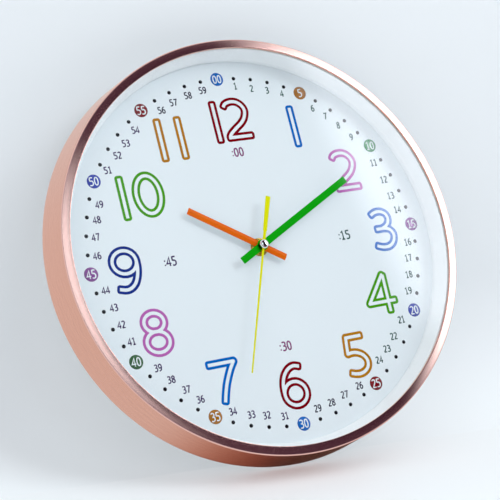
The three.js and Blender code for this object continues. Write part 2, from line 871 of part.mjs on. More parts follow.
function quartzCrystal() {
  const can = revolveAcross([
    [0, -crystalLength / 2],
    [crystalRadius, -crystalLength / 2],
    [crystalRadius, crystalLength / 2],
    [0, crystalLength / 2],
  ], boardRear - crystalRadius - seatGap / 2, 0, tinyFacets);
  return moved(can, boardLeft + boardWidth / 2, boardTopZ - boardHeight + crystalRise);
}

const coilAxisDepth = trainPlateRear + seatGap + coilFlangeRadius;
const statorTop = coilAxisDepth - statorThickness - statorThickness / 2;
const coilZ = rotorPlace[1] + coilRise;
const coreFront = depthOf(statorTop + statorThickness);
const coilAxisFront = depthOf(coilAxisDepth);
const armInner = coilLength / 2 + seatGap + seatGap;
const armOuter = armInner + statorArmWidth;

// Flat pole plate: a boss round the rotor, a cross bar and two arms up to the core's ends.
function stator() {
  const [x, z] = rotorPlace;
  const barLow = z + statorBarRise;
  const barHigh = barLow + statorBarHeight;
  const armHigh = coilZ + coilCoreWidth / 2;
  const boss = statorBore + statorRim;
  const start = Math.asin(statorBarRise / boss);
  const shape = outline([
    [x + armInner, barHigh],
    [x - armInner, barHigh],
    [x - armInner, armHigh],
    [x - armOuter, armHigh],
    [x - armOuter, barLow],
    ...arc(x, z, boss, Math.PI - start, Math.PI * 2 + start, tinyFacets),
    [x + armOuter, barLow],
    [x + armOuter, armHigh],
    [x + armInner, armHigh],
  ]);
  shape.holes.push(circle(statorBore, x, z, smallFacets));
  return plate(shape, coreFront, depthOf(statorTop));
}

function coilCore() {
  return block(
    [rotorPlace[0] - armOuter, coreFront - statorThickness, coilZ - coilCoreWidth / 2],
    [rotorPlace[0] + armOuter, coreFront, coilZ + coilCoreWidth / 2],
  );
}

function coilBobbin() {
  const half = coilLength / 2;
  const bobbin = revolveAcross([
    [coilCoreBore, -half],
    [coilFlangeRadius, -half],
    [coilFlangeRadius, -half + coilFlange],
    [coilCoreBore + bobbinWall, -half + coilFlange],
    [coilCoreBore + bobbinWall, half - coilFlange],
    [coilFlangeRadius, half - coilFlange],
    [coilFlangeRadius, half],
    [coilCoreBore, half],
  ], coilAxisFront, coilZ, smallFacets);
  return moved(bobbin, rotorPlace[0], 0);
}

function coilWinding() {
  const half = coilLength / 2 - coilFlange - pivotGap;
  const bore = coilCoreBore + bobbinWall + pivotGap;
  const winding = revolveAcross([
    [bore, -half],
    [coilRadius, -half],
    [coilRadius, half],
    [bore, half],
  ], coilAxisFront, coilZ, smallFacets);
  return moved(winding, rotorPlace[0], 0);
}

// Wheels

function arbor() {
  return rod(arborRadius, depthOf(arborEnd), depthOf(arborStart), tinyFacets);
}

function hourWheel() {
  const disc = wheel(hourTeeth, hourModule, hourWheelTop, hourPhase);
  const pipe = rod(hourPipeRadius, depthOf(hourWheelTop + wheelThickness),
    hourHandRear + hourHandRidge + pipeProud, smallFacets);
  const bore = rod(hourPipeBore, depthOf(hourWheelTop + wheelThickness + cutOverrun),
    hourHandRear + hourHandRidge + pipeProud + cutOverrun, smallFacets);
  return cut(join(disc, pipe), bore);
}

function minuteWheel() {
  const disc = wheel(minuteTeeth, motionModule, minuteWheelTop, 0);
  const leaves = plate(gearShape(hourPinionTeeth, hourModule, pinionShares, 0),
    depthOf(minuteWheelTop + wheelThickness), depthOf(hourWheelTop));
  const bore = rod(arborRadius + pivotGap, depthOf(minuteWheelTop + wheelThickness + cutOverrun),
    depthOf(hourWheelTop - cutOverrun), tinyFacets);
  return cut(join(disc, leaves), bore);
}

// Minute pipe with the pinion that drives the minute wheel. Its rear end is the sleeve
// that the centre wheel grips by friction.
function cannonPinion() {
  const rear = depthOf(centreWheelTop + wheelThickness + runGap);
  const front = minuteHandRear + minuteHandThickness + pipeProud;
  const pipe = rod(minutePipeRadius, rear, front, smallFacets);
  const leaves = pinion(cannonTeeth, motionModule, minuteWheelTop, cannonPhase);
  const bore = rod(minutePipeBore, rear - cutOverrun, front + cutOverrun, smallFacets);
  return cut(join(pipe, leaves), bore);
}

function centreWheel() {
  const disc = wheel(centreTeeth, centreModule, centreWheelTop, 0);
  const bore = rod(minutePipeRadius + pivotGap, depthOf(centreWheelTop + wheelThickness + cutOverrun),
    depthOf(centreWheelTop - cutOverrun), smallFacets);
  return cut(disc, bore);
}

function thirdWheel() {
  return join(
    wheel(thirdTeeth, thirdModule, thirdWheelTop, thirdPhase),
    pinion(thirdPinionTeeth, centreModule, centreWheelTop, thirdPinionPhase),
    arbor(),
  );
}

function secondWheel() {
  return join(
    wheel(secondTeeth, secondModule, secondWheelTop, 0),
    pinion(secondPinionTeeth, thirdModule, thirdWheelTop, 0),
    rod(secondShaftRadius, depthOf(arborEnd), secondHandFront, tinyFacets),
  );
}

function stepWheel() {
  return join(
    wheel(stepTeeth, stepModule, stepWheelTop, 0),
    pinion(stepPinionTeeth, secondModule, secondWheelTop, stepPinionPhase),
    arbor(),
  );
}

// Magnet rotor: two half turns each second.
function rotor() {
  const magnetRear = depthOf(statorTop + statorThickness / 2) - magnetHeight / 2;
  return join(
    rod(magnetRadius, magnetRear, magnetRear + magnetHeight, smallFacets),
    pinion(rotorPinionTeeth, stepModule, stepWheelTop, rotorPinionPhase),
    arbor(),
  );
}

// Setting knob: a ribbed head in the well, its shaft and the wheel that turns the
// minute wheel.
function setKnob() {
  const rear = movementRear + batteryInset;
  const head = rod(knobRadius, rear, knobFront, 2 * knobNotchCount);
  const notch = rod(knobNotchRadius, rear - cutOverrun, knobFront + cutOverrun, notchFacets);
  const notches = Array.from({ length: knobNotchCount }, (_, i) => {
    const [x, z] = along(shaftPlace, knobRadius, fullTurn * i / knobNotchCount);
    return moved(notch, x, z);
  });
  const grip = block([-knobGripWidth / 2, rear - cutOverrun, -knobGripHeight / 2],
    [knobGripWidth / 2, rear + knobGripDepth, knobGripHeight / 2]);
  const shaft = rod(settingShaftRadius, knobFront - pivotGap, depthOf(minuteWheelTop), tinyFacets);
  const pivot = rod(arborRadius, knobFront, depthOf(movementWall + pivotGap), tinyFacets);
  const gear = wheel(settingTeeth, motionModule, minuteWheelTop, settingPhase);
  return join(cut(head, notches, grip), shaft, pivot, gear);
}

// Hands, pointing to 12 before they are turned

// Bar with a raised middle line along its length.
function ridgedBar(width, edge, ridge, length, tail, rear) {
  const half = width / 2;
  const section = new THREE.Shape();
  section.moveTo(-half, -rear);
  section.lineTo(-half, -rear - edge);
  section.lineTo(0, -rear - ridge);
  section.lineTo(half, -rear - edge);
  section.lineTo(half, -rear);
  const bar = new THREE.ExtrudeGeometry(section, { depth: length + tail, bevelEnabled: false });
  bar.translate(0, 0, -tail);
  return faceOutwards(bar.deleteAttribute('uv').deleteAttribute('normal'));
}

function hourHand() {
  const bar = ridgedBar(hourHandWidth, hourHandEdge, hourHandRidge, hourHandLength, hourHandTail,
    hourHandRear);
  const boss = rod(handBossRadius, hourHandRear, hourHandRear + hourHandRidge, smallFacets);
  const bore = rod(hourPipeRadius + pivotGap, hourHandRear - cutOverrun,
    hourHandRear + hourHandRidge + cutOverrun, smallFacets);
  return cut(join(bar, boss), bore);
}

function minuteHand() {
  const front = minuteHandRear + minuteHandThickness;
  const bar = block([-minuteHandWidth / 2, minuteHandRear, -minuteHandTail],
    [minuteHandWidth / 2, front, minuteHandLength]);
  const boss = rod(handBossRadius, minuteHandRear, front, smallFacets);
  const bore = rod(minutePipeRadius + pivotGap, minuteHandRear - cutOverrun, front + cutOverrun,
    smallFacets);
  return cut(join(bar, boss), bore);
}

// Tapered pointer with a narrow neck and a counterweight bar that widens outwards.
function secondHand() {
  const weightEnd = secondNeckLength + secondWeightLength;
  const half = [
    [secondHandTip / 2, secondHandLength],
    [secondHandRoot / 2, 0],
    [secondNeckWidth / 2, 0],
    [secondNeckWidth / 2, -secondNeckLength],
    [secondWeightInner / 2, -secondNeckLength],
    [secondWeightOuter / 2, -weightEnd],
  ];
  const other = half.map(([x, z]) => [-x, z]).reverse();
  const blade = plate(outline([...half, ...other].reverse()), secondHandRear, secondHandFront);
  const boss = rod(secondBossRadius, secondHandRear, secondHandFront, smallFacets);
  const bore = rod(secondShaftRadius + pivotGap, secondHandRear - cutOverrun,
    secondHandFront + cutOverrun, tinyFacets);
  return cut(join(blade, boss), bore);
}

// Polished dome over the end of the second shaft.
function handCap() {
  const rear = secondHandFront;
  const collar = rear + capCollar;
  const rise = (capHeight - capCollar) / capRadius;
  const dome = arc(0, 0, capRadius, 0, Math.PI / 2, arcSteps + 1).slice(0, -1)
    .map(([x, z]) => [x, collar + z * rise]);
  return revolve([[0, rear], [capRadius, rear], ...dome, [0, rear + capHeight]], smallFacets);
}

// Finishes

const finish = (color, roughness, metalness, opacity = 1) => new THREE.MeshStandardMaterial({
  color,
  roughness,
  metalness,
  opacity,
  transparent: opacity < 1,
});
const roseMetal = () => finish(0xc88f7c, 0.32, 0.95);
const whitePlastic = () => finish(0xf1f4f6, 0.45, 0);
const blackPlastic = () => finish(0x1b1c1e, 0.5, 0);
const steel = () => finish(0xb9bcc0, 0.3, 1);
const brass = () => finish(0xb8953a, 0.3, 1);
const gearPlastic = () => finish(0xe6e2d4, 0.5, 0);

const clock = new THREE.Group();
clock.position.set(0, 0, -hangDrop);

// Adds a named piece at a place in the plan, turned clockwise by an angle in degrees.
function add(name, geometry, material, place = shaftPlace, angle = 0) {
  const mesh = new THREE.Mesh(geometry, material);
  mesh.name = name;
  mesh.position.set(place[0], 0, place[1]);
  mesh.rotation.y = radians(angle);
  clock.add(mesh);
}

add('case_ring', caseRing(), roseMetal());
add('lens_gasket', lensGasket(), finish(0x2a2a2c, 0.9, 0));
add('glass_lens', glassLens(), finish(0xffffff, 0.02, 0, 0.2));
add('inner_ring', innerRing(), whitePlastic());
add('dial_plate', dialPlate(), finish(0xe9f1f6, 0.6, 0));
add('back_cover', backCover(), whitePlastic());
clipBearings.forEach((bearing, i) => {
  add(`retaining_clip_${i + 1}`, retainingClip(), steel(), shaftPlace, bearing);
  add(`clip_screw_${i + 1}`, clipScrew(), steel(), shaftPlace, bearing);
});
add('hanger_plate', hangerPlate(), steel());
hangerScrewPlaces.forEach((place, i) => add(`hanger_screw_${i + 1}`, hangerScrew(), steel(), place));

add('movement_base', movementBase(), blackPlastic());
add('movement_cover', movementCover(), blackPlastic());
add('train_plate', trainPlate(), gearPlastic());
add('threaded_bushing', threadedBushing(), brass());
add('rubber_washer', washer(rubberWasherRadius, movementFront, dialRear), finish(0x222222, 0.9, 0));
add('brass_washer', washer(washerRadius, dialFace, dialFace + washerThickness), brass());
add('brass_nut', brassNut(), brass());
add('battery', battery(), finish(0x2f6f9f, 0.35, 0.4));
add('battery_contact_plus', batteryContact(1), steel());
add('battery_contact_minus', batteryContact(-1), steel());
add('circuit_board', circuitBoard(), finish(0x1f6b3a, 0.5, 0));
add('control_chip', controlChip(), finish(0x111111, 0.6, 0));
add('quartz_crystal', quartzCrystal(), steel());
add('stator', stator(), steel());
add('coil_core', coilCore(), steel());
add('coil_bobbin', coilBobbin(), finish(0xd8d8d0, 0.5, 0));
add('coil_winding', coilWinding(), finish(0xa5522a, 0.35, 0.8));

add('hour_wheel', hourWheel(), gearPlastic());
add('minute_wheel', minuteWheel(), gearPlastic(), minuteWheelPlace);
add('cannon_pinion', cannonPinion(), brass());
add('set_knob', setKnob(), finish(0xe8e8e6, 0.45, 0), settingPlace);
add('centre_wheel', centreWheel(), gearPlastic());
add('third_wheel', thirdWheel(), gearPlastic(), thirdPlace);
add('second_wheel', secondWheel(), gearPlastic());
add('step_wheel', stepWheel(), gearPlastic(), stepPlace);
add('rotor', rotor(), finish(0x4a4a50, 0.4, 0.7), rotorPlace);

add('hour_hand', hourHand(), finish(0xe06410, 0.35, 0.1), shaftPlace, hourHandAngle);
add('minute_hand', minuteHand(), finish(0x0aa50a, 0.35, 0.1), shaftPlace, minuteHandAngle);
add('second_hand', secondHand(), finish(0xe8e40c, 0.35, 0.1), shaftPlace, secondHandAngle);
add('hand_cap', handCap(), finish(0xe8e8ec, 0.08, 1));

export default clock;
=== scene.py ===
"""Round wall clock with coloured teaching numerals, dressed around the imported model.

Metres, +Z up, dial facing -Y, origin at the seat of the nail. Sizes below are in
millimetres on the clock's own plan: x to the right, "front" in front of the wall,
z up from the clock's axis. place() turns them into scene coordinates.
"""
import math

import bmesh
import bpy
import numpy as np
from mathutils import Matrix, Vector


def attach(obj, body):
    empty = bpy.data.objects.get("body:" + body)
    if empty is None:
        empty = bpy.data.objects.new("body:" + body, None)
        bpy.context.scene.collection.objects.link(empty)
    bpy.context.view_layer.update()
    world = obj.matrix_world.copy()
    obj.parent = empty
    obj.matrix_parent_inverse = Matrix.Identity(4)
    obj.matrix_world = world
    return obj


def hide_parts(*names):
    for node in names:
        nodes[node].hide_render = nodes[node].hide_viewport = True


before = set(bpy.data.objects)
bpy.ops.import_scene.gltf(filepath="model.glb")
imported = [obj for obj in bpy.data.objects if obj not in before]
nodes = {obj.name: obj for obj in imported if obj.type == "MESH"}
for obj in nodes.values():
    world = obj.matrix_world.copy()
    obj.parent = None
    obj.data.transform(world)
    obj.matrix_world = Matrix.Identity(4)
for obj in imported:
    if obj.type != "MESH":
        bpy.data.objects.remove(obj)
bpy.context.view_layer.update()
scene = bpy.context.scene
scene.view_settings.view_transform = "Standard"

MM = 0.001
TAU = 2.0 * math.pi
AXIS_DROP = 88.0          # from the nail's seat down to the clock's axis
PRINT_DROP = 88.5         # the print sits half a millimetre low on the dial
RIM_STEPS = 360           # points round the large rings
HUB_STEPS = 64            # and round the small turned parts


def place(points, drop=AXIS_DROP):
    """Plan points (x, front, z) in millimetres to scene points in metres."""
    return (np.asarray(points, float) * (1, -1, 1) - (0, 0, drop)) * MM


def full_turn(steps):
    return np.linspace(0.0, TAU, steps, endpoint=False)


def lengths(vectors):
    return np.linalg.norm(vectors, axis=-1, keepdims=True)


def together(*parts):
    """Arrays as the coordinates of one array of points."""
    return np.stack(np.broadcast_arrays(*parts), -1)


def points_of(text):
    """Points from "x,y x,y ..."."""
    return np.array([point.split(",") for point in text.split()], float)


# ---- mesh making

def new_object(name, data):
    thing = bpy.data.objects.new(name, data)
    scene.collection.objects.link(thing)
    return thing


def new_mesh(name, points, faces, zones=None):
    """Object from an array of points and arrays of faces with three or four corners."""
    mesh = bpy.data.meshes.new(name)
    corners = np.concatenate([part.ravel() for part in faces])
    sizes = np.concatenate([np.full(len(part), part.shape[1]) for part in faces])
    starts = np.concatenate([[0], np.cumsum(sizes)[:-1]])
    mesh.vertices.add(len(points))
    mesh.vertices.foreach_set("co", np.asarray(points, np.float32).ravel())
    mesh.loops.add(len(corners))
    mesh.loops.foreach_set("vertex_index", corners.astype(np.int32))
    mesh.polygons.add(len(sizes))
    mesh.polygons.foreach_set("loop_start", starts.astype(np.int32))
    if zones is not None:
        mesh.polygons.foreach_set("material_index", zones.astype(np.int32))
    mesh.update(calc_edges=True)
    mesh.validate()
    return new_object(name, mesh)


def grid_faces(rows, columns, wrap_rows=False, wrap_columns=False):
    """Four corners of every cell of a grid that is stored row by row."""
    i = np.arange(rows if wrap_rows else rows - 1)[:, None]
    j = np.arange(columns if wrap_columns else columns - 1)[None, :]
    below, across = (i + 1) % rows, (j + 1) % columns
    return together(i * columns + j, i * columns + across, below * columns + across,
                    below * columns + j).reshape(-1, 4)


def volume_of(points, faces):
    """Six times the volume inside a shell, from the fan of each face."""
    return sum(np.einsum("ij,ij->", points[part[:, 0]],
                         np.cross(points[part[:, k]], points[part[:, k + 1]]))
               for part in faces for k in range(1, part.shape[1] - 1))


def shell(grid, poles=False):
    """Points and faces of a closed shell from a grid of rows whose columns close on
    themselves. The rows close into a loop too, or with poles a fan to the middle of
    the first and the last row shuts them."""
    rows, columns = grid.shape[:2]
    points = grid.reshape(-1, 3)
    faces = [grid_faces(rows, columns, not poles, True)]
    if poles:
        near = np.arange(columns)
        after = (near + 1) % columns
        last = (rows - 1) * columns
        pole = len(points)
        faces.append(np.concatenate([together(after, near, pole),
                                     together(near + last, after + last, pole + 1)]))
        points = np.concatenate([points, [grid[0].mean(0), grid[-1].mean(0)]])
    if volume_of(points - points.mean(0), faces) < 0:
        faces = [part[:, ::-1] for part in faces]
    return points, faces


def joined(name, shells):
    """One object from several shells."""
    points, quads, fans, start = [], [], [], 0
    for part_points, part_faces in shells:
        points.append(part_points)
        for part in part_faces:
            (quads if part.shape[1] == 4 else fans).append(part + start)
        start += len(part_points)
    faces = [np.concatenate(part) for part in (quads, fans) if part]
    return new_mesh(name, np.concatenate(points), faces)


def revolve(profile, steps=RIM_STEPS):
    """Profile points (radius, front) turned about the clock's axis: x is radius times
    the sine of the clock angle and z radius times its cosine. A profile that starts and
    ends on the axis is shut with fans."""
    profile = np.asarray(profile, float)
    on_axis = profile[0, 0] == 0
    if on_axis:
        profile = profile[1:-1]
    angle = full_turn(steps)
    radius, front = profile[:, :1], profile[:, 1:]
    grid = together(radius * np.sin(angle), front, radius * np.cos(angle))
    return shell(place(grid), on_axis)


def arc(middle, radius, start, end, steps):
    """Points on a circle of the profile plane between two angles in degrees."""
    angle = np.radians(np.linspace(start, end, steps + 1))
    return zip(middle[0] + radius * np.cos(angle), middle[1] + radius * np.sin(angle))


def rounded(profile, radius):
    """The closed profile with each corner cut to a small round: points on the curve
    that starts and ends at the given distance from the corner and bends towards it,
    with one more point just before and after so that the flats stay flat."""
    p = np.asarray(profile, float)
    before, after = np.roll(p, 1, 0) - p, np.roll(p, -1, 0) - p
    size = np.minimum(radius, 0.45 * np.minimum(lengths(before), lengths(after)))
    before = before / lengths(before) * size
    after = after / lengths(after) * size
    t = np.linspace(0.0, 1.0, 4)[None, :, None]
    p = p[:, None]
    a, b = p + before[:, None], p + after[:, None]
    curve = (1 - t) ** 2 * a + 2 * t * (1 - t) * p + t ** 2 * b
    lead, trail = p + 1.1 * before[:, None], p + 1.1 * after[:, None]
    return np.concatenate([lead, curve, trail], 1).reshape(-1, 2)


def smooth(piece, degrees=35.0):
    """Smooth shading that breaks at edges sharper than the angle."""
    mesh = piece.data
    mesh.polygons.foreach_set("use_smooth", np.ones(len(mesh.polygons), bool))
    mesh.set_sharp_from_angle(angle=math.radians(degrees))
    return piece


def smooth_path(points, steps, closed=False):
    """Catmull-Rom curve: each span is the cubic that passes through its two points
    with slopes of half the step between the points on either side of each."""
    if closed:
        spans = [np.roll(points, shift, 0) for shift in (1, 0, -1, -2)]
    else:
        whole = np.concatenate([[2 * points[0] - points[1]], points,
                                [2 * points[-1] - points[-2]]])
        spans = [whole[:-3], whole[1:-2], whole[2:-1], whole[3:]]
    p0, p1, p2, p3 = (part[:, None] for part in spans)
    t = np.linspace(0.0, 1.0, steps, endpoint=False)[None, :, None]
    curve = 0.5 * (2 * p1 + (p2 - p0) * t + (2 * p0 - 5 * p1 + 4 * p2 - p3) * t ** 2
                   + (3 * p1 - p0 - 3 * p2 + p3) * t ** 3)
    curve = curve.reshape(-1, 2)
    return curve if closed else np.concatenate([curve, points[-1:]])


def oval(x, y, half_width, half_height, steps=24):
    """Closed ellipse as a path that ends where it starts."""
    angle = np.linspace(0.0, TAU, steps + 1)
    return together(x + half_width * np.sin(angle), y + half_height * np.cos(angle))


# ---- materials

def add(tree, kind, values, **settings):
    """Adds a node with what feeds its inputs; settings are its own options."""
    node = tree.nodes.new("ShaderNode" + kind)
    for name, value in settings.items():
        setattr(node, name, value)
    return feed(node, values)


def feed(node, values):
    """Gives a node's inputs, by name or number, a socket that is linked or a value."""
    for key, value in values.items():
        if isinstance(value, bpy.types.NodeSocket):
            node.id_data.links.new(value, node.inputs[key])
        else:
            node.inputs[key].default_value = value
    return node


def beside(kind, values, **settings):
    """First output of a node that is added to the tree of the sockets it takes."""
    tree = next(value.id_data for value in values.values()
                if isinstance(value, bpy.types.NodeSocket))
    return add(tree, kind, values, **settings).outputs[0]


def maths(operation, *values, clamp=False):
    return beside("Math", dict(enumerate(values)), operation=operation, use_clamp=clamp)


def product(first, *others):
    for other in others:
        first = maths("MULTIPLY", first, other)
    return first


def length_of(a, b):
    """Square root of a squared plus b squared."""
    return maths("SQRT", maths("ADD", product(a, a), product(b, b)))


def mix_colour(factor, a, b, **settings):
    mixed = beside("Mix", {0: factor, 6: a, 7: b}, data_type="RGBA", **settings)
    return mixed.node.outputs[2]


def spread(value, low, high, to_low=0, to_high=1, **settings):
    """Maps a range to another, held at both ends."""
    return beside("MapRange", {0: value, 1: low, 2: high, 3: to_low, 4: to_high}, **settings)


def ease(value, low, high):
    """Rises from 0 to 1 between two values, with a soft start and end."""
    return spread(value, low, high, interpolation_type="SMOOTHSTEP")


def noise(where, scale, detail, roughness):
    return beside("TexNoise", {"Vector": where, "Scale": scale, "Detail": detail,
                               "Roughness": roughness})


def object_place(tree):
    return add(tree, "TexCoord", {}).outputs["Object"]


def new_group(name, inputs, outputs):
    """Shader node group: inputs by name with their defaults, and names of outputs."""
    group = bpy.data.node_groups.new(name, "ShaderNodeTree")
    for label, default in inputs.items():
        kind = "NodeSocketColor" if isinstance(default, tuple) else "NodeSocketFloat"
        socket = group.interface.new_socket(label, in_out="INPUT", socket_type=kind)
        socket.default_value = default
    for label in outputs:
        kind = "NodeSocketColor" if label == "Color" else "NodeSocketFloat"
        group.interface.new_socket(label, in_out="OUTPUT", socket_type=kind)
    return group, group.nodes.new("NodeGroupInput").outputs, group.nodes.new("NodeGroupOutput")


def mottle_group():
    """Soft clouds and fine specks over the object: a colour drifts between two tones,
    roughness drifts round its mean, and the specks give a height."""
    group, given, end = new_group("mottle", {
        "Light": (1, 1, 1, 1), "Dark": (0, 0, 0, 1), "Cloud Scale": 20, "Speck Scale": 2000,
        "Speck Share": 0.3, "Roughness": 0.5, "Drift": 0.1}, ("Color", "Roughness", "Height"))
    where = object_place(group)
    soft = spread(noise(where, given["Cloud Scale"], 3.0, 0.6), 0.2, 0.8)
    fine = spread(noise(where, given["Speck Scale"], 2.0, 0.5), 0.3, 0.7)
    kept = maths("SUBTRACT", 1.0, given["Speck Share"])
    mask = maths("ADD", product(soft, kept), product(fine, given["Speck Share"]), clamp=True)
    swing = product(maths("SUBTRACT", mask, 0.5), given["Drift"])
    feed(end, {
        "Color": mix_colour(mask, given["Light"], given["Dark"]),
        "Roughness": maths("ADD", swing, given["Roughness"], clamp=True),
        "Height": fine})
    return group


MARK_TURN = 14.0          # change of the turned marks round the circle; less is longer


def turning_group():
    """Fine marks that run round the clock's axis: noise on (distance from the axis,
    depth, a little of the clock angle), so each mark is long along the circle."""
    group, given, end = new_group("turned_marks", {"Fineness": 9000}, ["Mask"])
    x, depth, height = add(group, "SeparateXYZ", {0: object_place(group)}).outputs
    up = maths("ADD", height, AXIS_DROP * MM)
    angle = maths("ARCTAN2", x, up)
    across = product(length_of(x, up), given["Fineness"])
    deep = product(depth, given["Fineness"])
    round_x, round_z = (product(maths(wave, angle), MARK_TURN) for wave in ("SINE", "COSINE"))
    where = beside("CombineXYZ", {0: maths("ADD", across, round_x),
                                  1: maths("ADD", deep, round_z), 2: round_z})
    feed(end, {"Mask": spread(noise(where, 1.0, 2.0, 0.55), 0.32, 0.68)})
    return group


MOTTLE = mottle_group()
TURNED = turning_group()
made = {}


def base_material(name):
    material = bpy.data.materials.new(name)
    material.use_nodes = True
    made[name] = material
    return material.node_tree, material.node_tree.nodes["Principled BSDF"]


def mottled(tree, light, dark, clouds, specks, share, roughness, drift):
    values = ((*light, 1), (*dark, 1), clouds, specks, share, roughness, drift)
    return add(tree, "Group", dict(enumerate(values)), node_tree=MOTTLE).outputs


def emboss(shader, height, depth):
    """Fine relief, its depth in thousandths of a millimetre."""
    bump = beside("Bump", {"Strength": 1.0, "Distance": depth * 1e-6, "Height": height})
    feed(shader, {"Normal": bump})


def let_through(tree, shader, share):
    """Shows what lies behind by the share."""
    clear = add(tree, "BsdfTransparent", {"Color": (1, 1, 1, 1)}).outputs[0]
    mixed = beside("MixShader", {0: share, 1: shader.outputs[0], 2: clear})
    feed(tree.nodes["Material Output"], {"Surface": mixed})


def paint(name, light, dark, roughness=0.05, drift=0.01, clouds=120, specks=3500, share=0.06,
          relief=0, metallic=0, gloss=0.5):
    """Surface whose colour and roughness drift softly, with a fine relief in thousandths
    of a millimetre."""
    tree, shader = base_material(name)
    coat = mottled(tree, light, dark, clouds, specks, share, roughness, drift)
    feed(shader, {"Base Color": coat["Color"], "Roughness": coat["Roughness"],
                  "Metallic": metallic, "Specular IOR Level": gloss})
    if relief:
        emboss(shader, coat["Height"], relief)


BOUNCE_LOW, BOUNCE_HIGH = (0.99, 0.76, 0.72, 1), (0.66, 0.68, 0.70, 1)
BOUNCE_HEIGHTS = -0.21, -0.15


def turned_metal(name, light, dark, roughness, swing=0.1, relief=0.0, fineness=9000.0,
                 metallic=1.0, anisotropic=0.0):
    """Metal brushed round the clock's axis: long marks shift colour and roughness and
    the gloss spreads across them, away from the axis. Light that it sends on to the wall
    is nearly white, and to the floor pale rose, as in the photo."""
    tree, shader = base_material(name)
    marks = add(tree, "Group", {"Fineness": fineness}, node_tree=TURNED).outputs["Mask"]
    colour = mix_colour(marks, (*light, 1), (*dark, 1))
    height = add(tree, "SeparateXYZ", {0: object_place(tree)}).outputs[2]
    sent_on = mix_colour(spread(height, *BOUNCE_HEIGHTS), BOUNCE_LOW, BOUNCE_HIGH)
    bounced = add(tree, "LightPath", {}).outputs["Is Diffuse Ray"]
    feed(shader, {
        "Base Color": mix_colour(bounced, colour, sent_on), "Metallic": metallic,
        "Roughness": spread(marks, 0.0, 1.0, roughness - swing / 2, roughness + swing / 2)})
    if anisotropic:
        vector = object_place(tree)
        for operation, value in (("ADD", (0, 0, AXIS_DROP * MM)), ("MULTIPLY", (1, 0, 1)),
                                 ("NORMALIZE", (0, 0, 0))):
            vector = beside("VectorMath", {0: vector, 1: value}, operation=operation)
        feed(shader, {"Anisotropic": anisotropic, "Tangent": vector})
    if relief:
        emboss(shader, marks, relief)


def clear_glass():
    """Glass with a thin coat against gloss. Light that only passes on to the dial, or
    comes back from the dial's own gloss, goes straight through."""
    tree, shader = base_material("front_glass")
    tint = mottled(tree, (1, 1, 1), (0.985, 0.995, 0.99), 6.0, 12.0, 0.2, 0.0, 0.0)["Color"]
    feed(shader, {"Transmission Weight": 1.0, "IOR": 1.40, "Base Color": tint, "Roughness": 0.0})
    path = add(tree, "LightPath", {}).outputs
    let_through(tree, shader, maths("MAXIMUM", path["Is Shadow Ray"], path["Is Reflection Ray"]))


def stage_material(name, gloss):
    """Pale sheet whose tone is painted a little darker higher up, as painted shade that makes the
    wall darker than the floor. Its rear side lets the view through."""
    tree, shader = base_material(name)
    coat = mottled(tree, (0.90, 0.925, 0.945), (0.885, 0.91, 0.93), 3.0, 9.0, 0.2, 0.30, 0.03)
    height = add(tree, "VectorMath", {0: object_place(tree), 1: STAGE_UP},
                 operation="DOT_PRODUCT").outputs["Value"]
    # painted shade: above the floor's level the tone is multiplied down, so the wall is darker than
    # the floor
    painted_wall_shade = mix_colour(1.0, coat["Color"], (0.965, 0.96, 0.96, 1), blend_type="MULTIPLY")
    wall_shade_share = ease(height, FLOOR_LEVEL, FLOOR_LEVEL + 0.06)
    feed(shader, {
        "Specular IOR Level": gloss, "Roughness": coat["Roughness"],
        "Base Color": mix_colour(wall_shade_share, coat["Color"], painted_wall_shade)})
    let_through(tree, shader, add(tree, "NewGeometry", {}).outputs["Backfacing"])


def dress(piece, body, slot, *finishes, replaces=None):
    """Gives a piece its finishes and its body, and hides the node that it stands for. The slot is
    not used.
    """
    for finish in finishes:
        piece.data.materials.append(made[finish])
    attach(piece, body)
    if replaces:
        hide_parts(replaces)


# ---- camera

CAMERA_RIGHT = Vector((0.88694, -0.39425, -0.24063))
CAMERA_UP = Vector((0.14048, -0.26603, 0.95367))
CAMERA_FORWARD = Vector((0.43999, 0.87966, 0.18057))
CAMERA_PLACE = Vector((-0.47405, -0.9530, -0.2804))


def make_camera():
    lens = bpy.data.cameras.new("photo_camera")
    lens.sensor_width = 36.0
    lens.lens = 110.56
    lens.clip_end = 50.0
    turn = Matrix((CAMERA_RIGHT, CAMERA_UP, -CAMERA_FORWARD)).transposed()
    scene.camera = new_object("photo_camera", lens)
    scene.camera.matrix_world = Matrix.Translation(CAMERA_PLACE) @ turn.to_4x4()


make_camera()

# ---- floor and wall

TILT = math.radians(9.0)  # the floor against the camera's own level
STAGE_UP = (CAMERA_UP * math.cos(TILT) - CAMERA_FORWARD * math.sin(TILT)).normalized()
STAGE_ALONG = STAGE_UP.cross(Vector((0, 1, 0))).normalized()
if STAGE_ALONG.x < 0:
    STAGE_ALONG.negate()
STAGE_BACK = STAGE_UP.cross(STAGE_ALONG).normalized()


def hem_reach(direction):
    """Furthest the case's rear hem reaches in a direction, in metres."""
    radius, front = 150.2, 3.5
    across = math.hypot(direction.x, direction.z)
    return (radius * across - front * direction.y - AXIS_DROP * direction.z) * MM


FLOOR_LEVEL = -hem_reach(-STAGE_UP) - 1.0 * MM
WALL_DEPTH = hem_reach(STAGE_BACK)
SWEEP_RADIUS = 0.10
STAGE_HALF_WIDTH, FLOOR_FRONT, WALL_RISE = 2.2, -2.6, 2.4


def stage_sheet(name, finish, profile):
    """Profile of (depth towards the wall, height) carried sideways along the wall."""
    profile = np.asarray(profile, float)[:, None]
    sideways = np.linspace(-STAGE_HALF_WIDTH, STAGE_HALF_WIDTH, 3)[None, :, None]
    back, up, along = (np.array(v) for v in (STAGE_BACK, STAGE_UP, STAGE_ALONG))
    grid = profile[..., :1] * back + profile[..., 1:] * up + sideways * along
    piece = new_mesh(name, grid.reshape(-1, 3), [grid_faces(len(profile), 3)])
    if piece.data.polygons[0].normal.dot(STAGE_UP - STAGE_BACK) < 0:
        piece.data.flip_normals()
    smooth(piece)
    piece.data.materials.append(made[finish])
    return piece


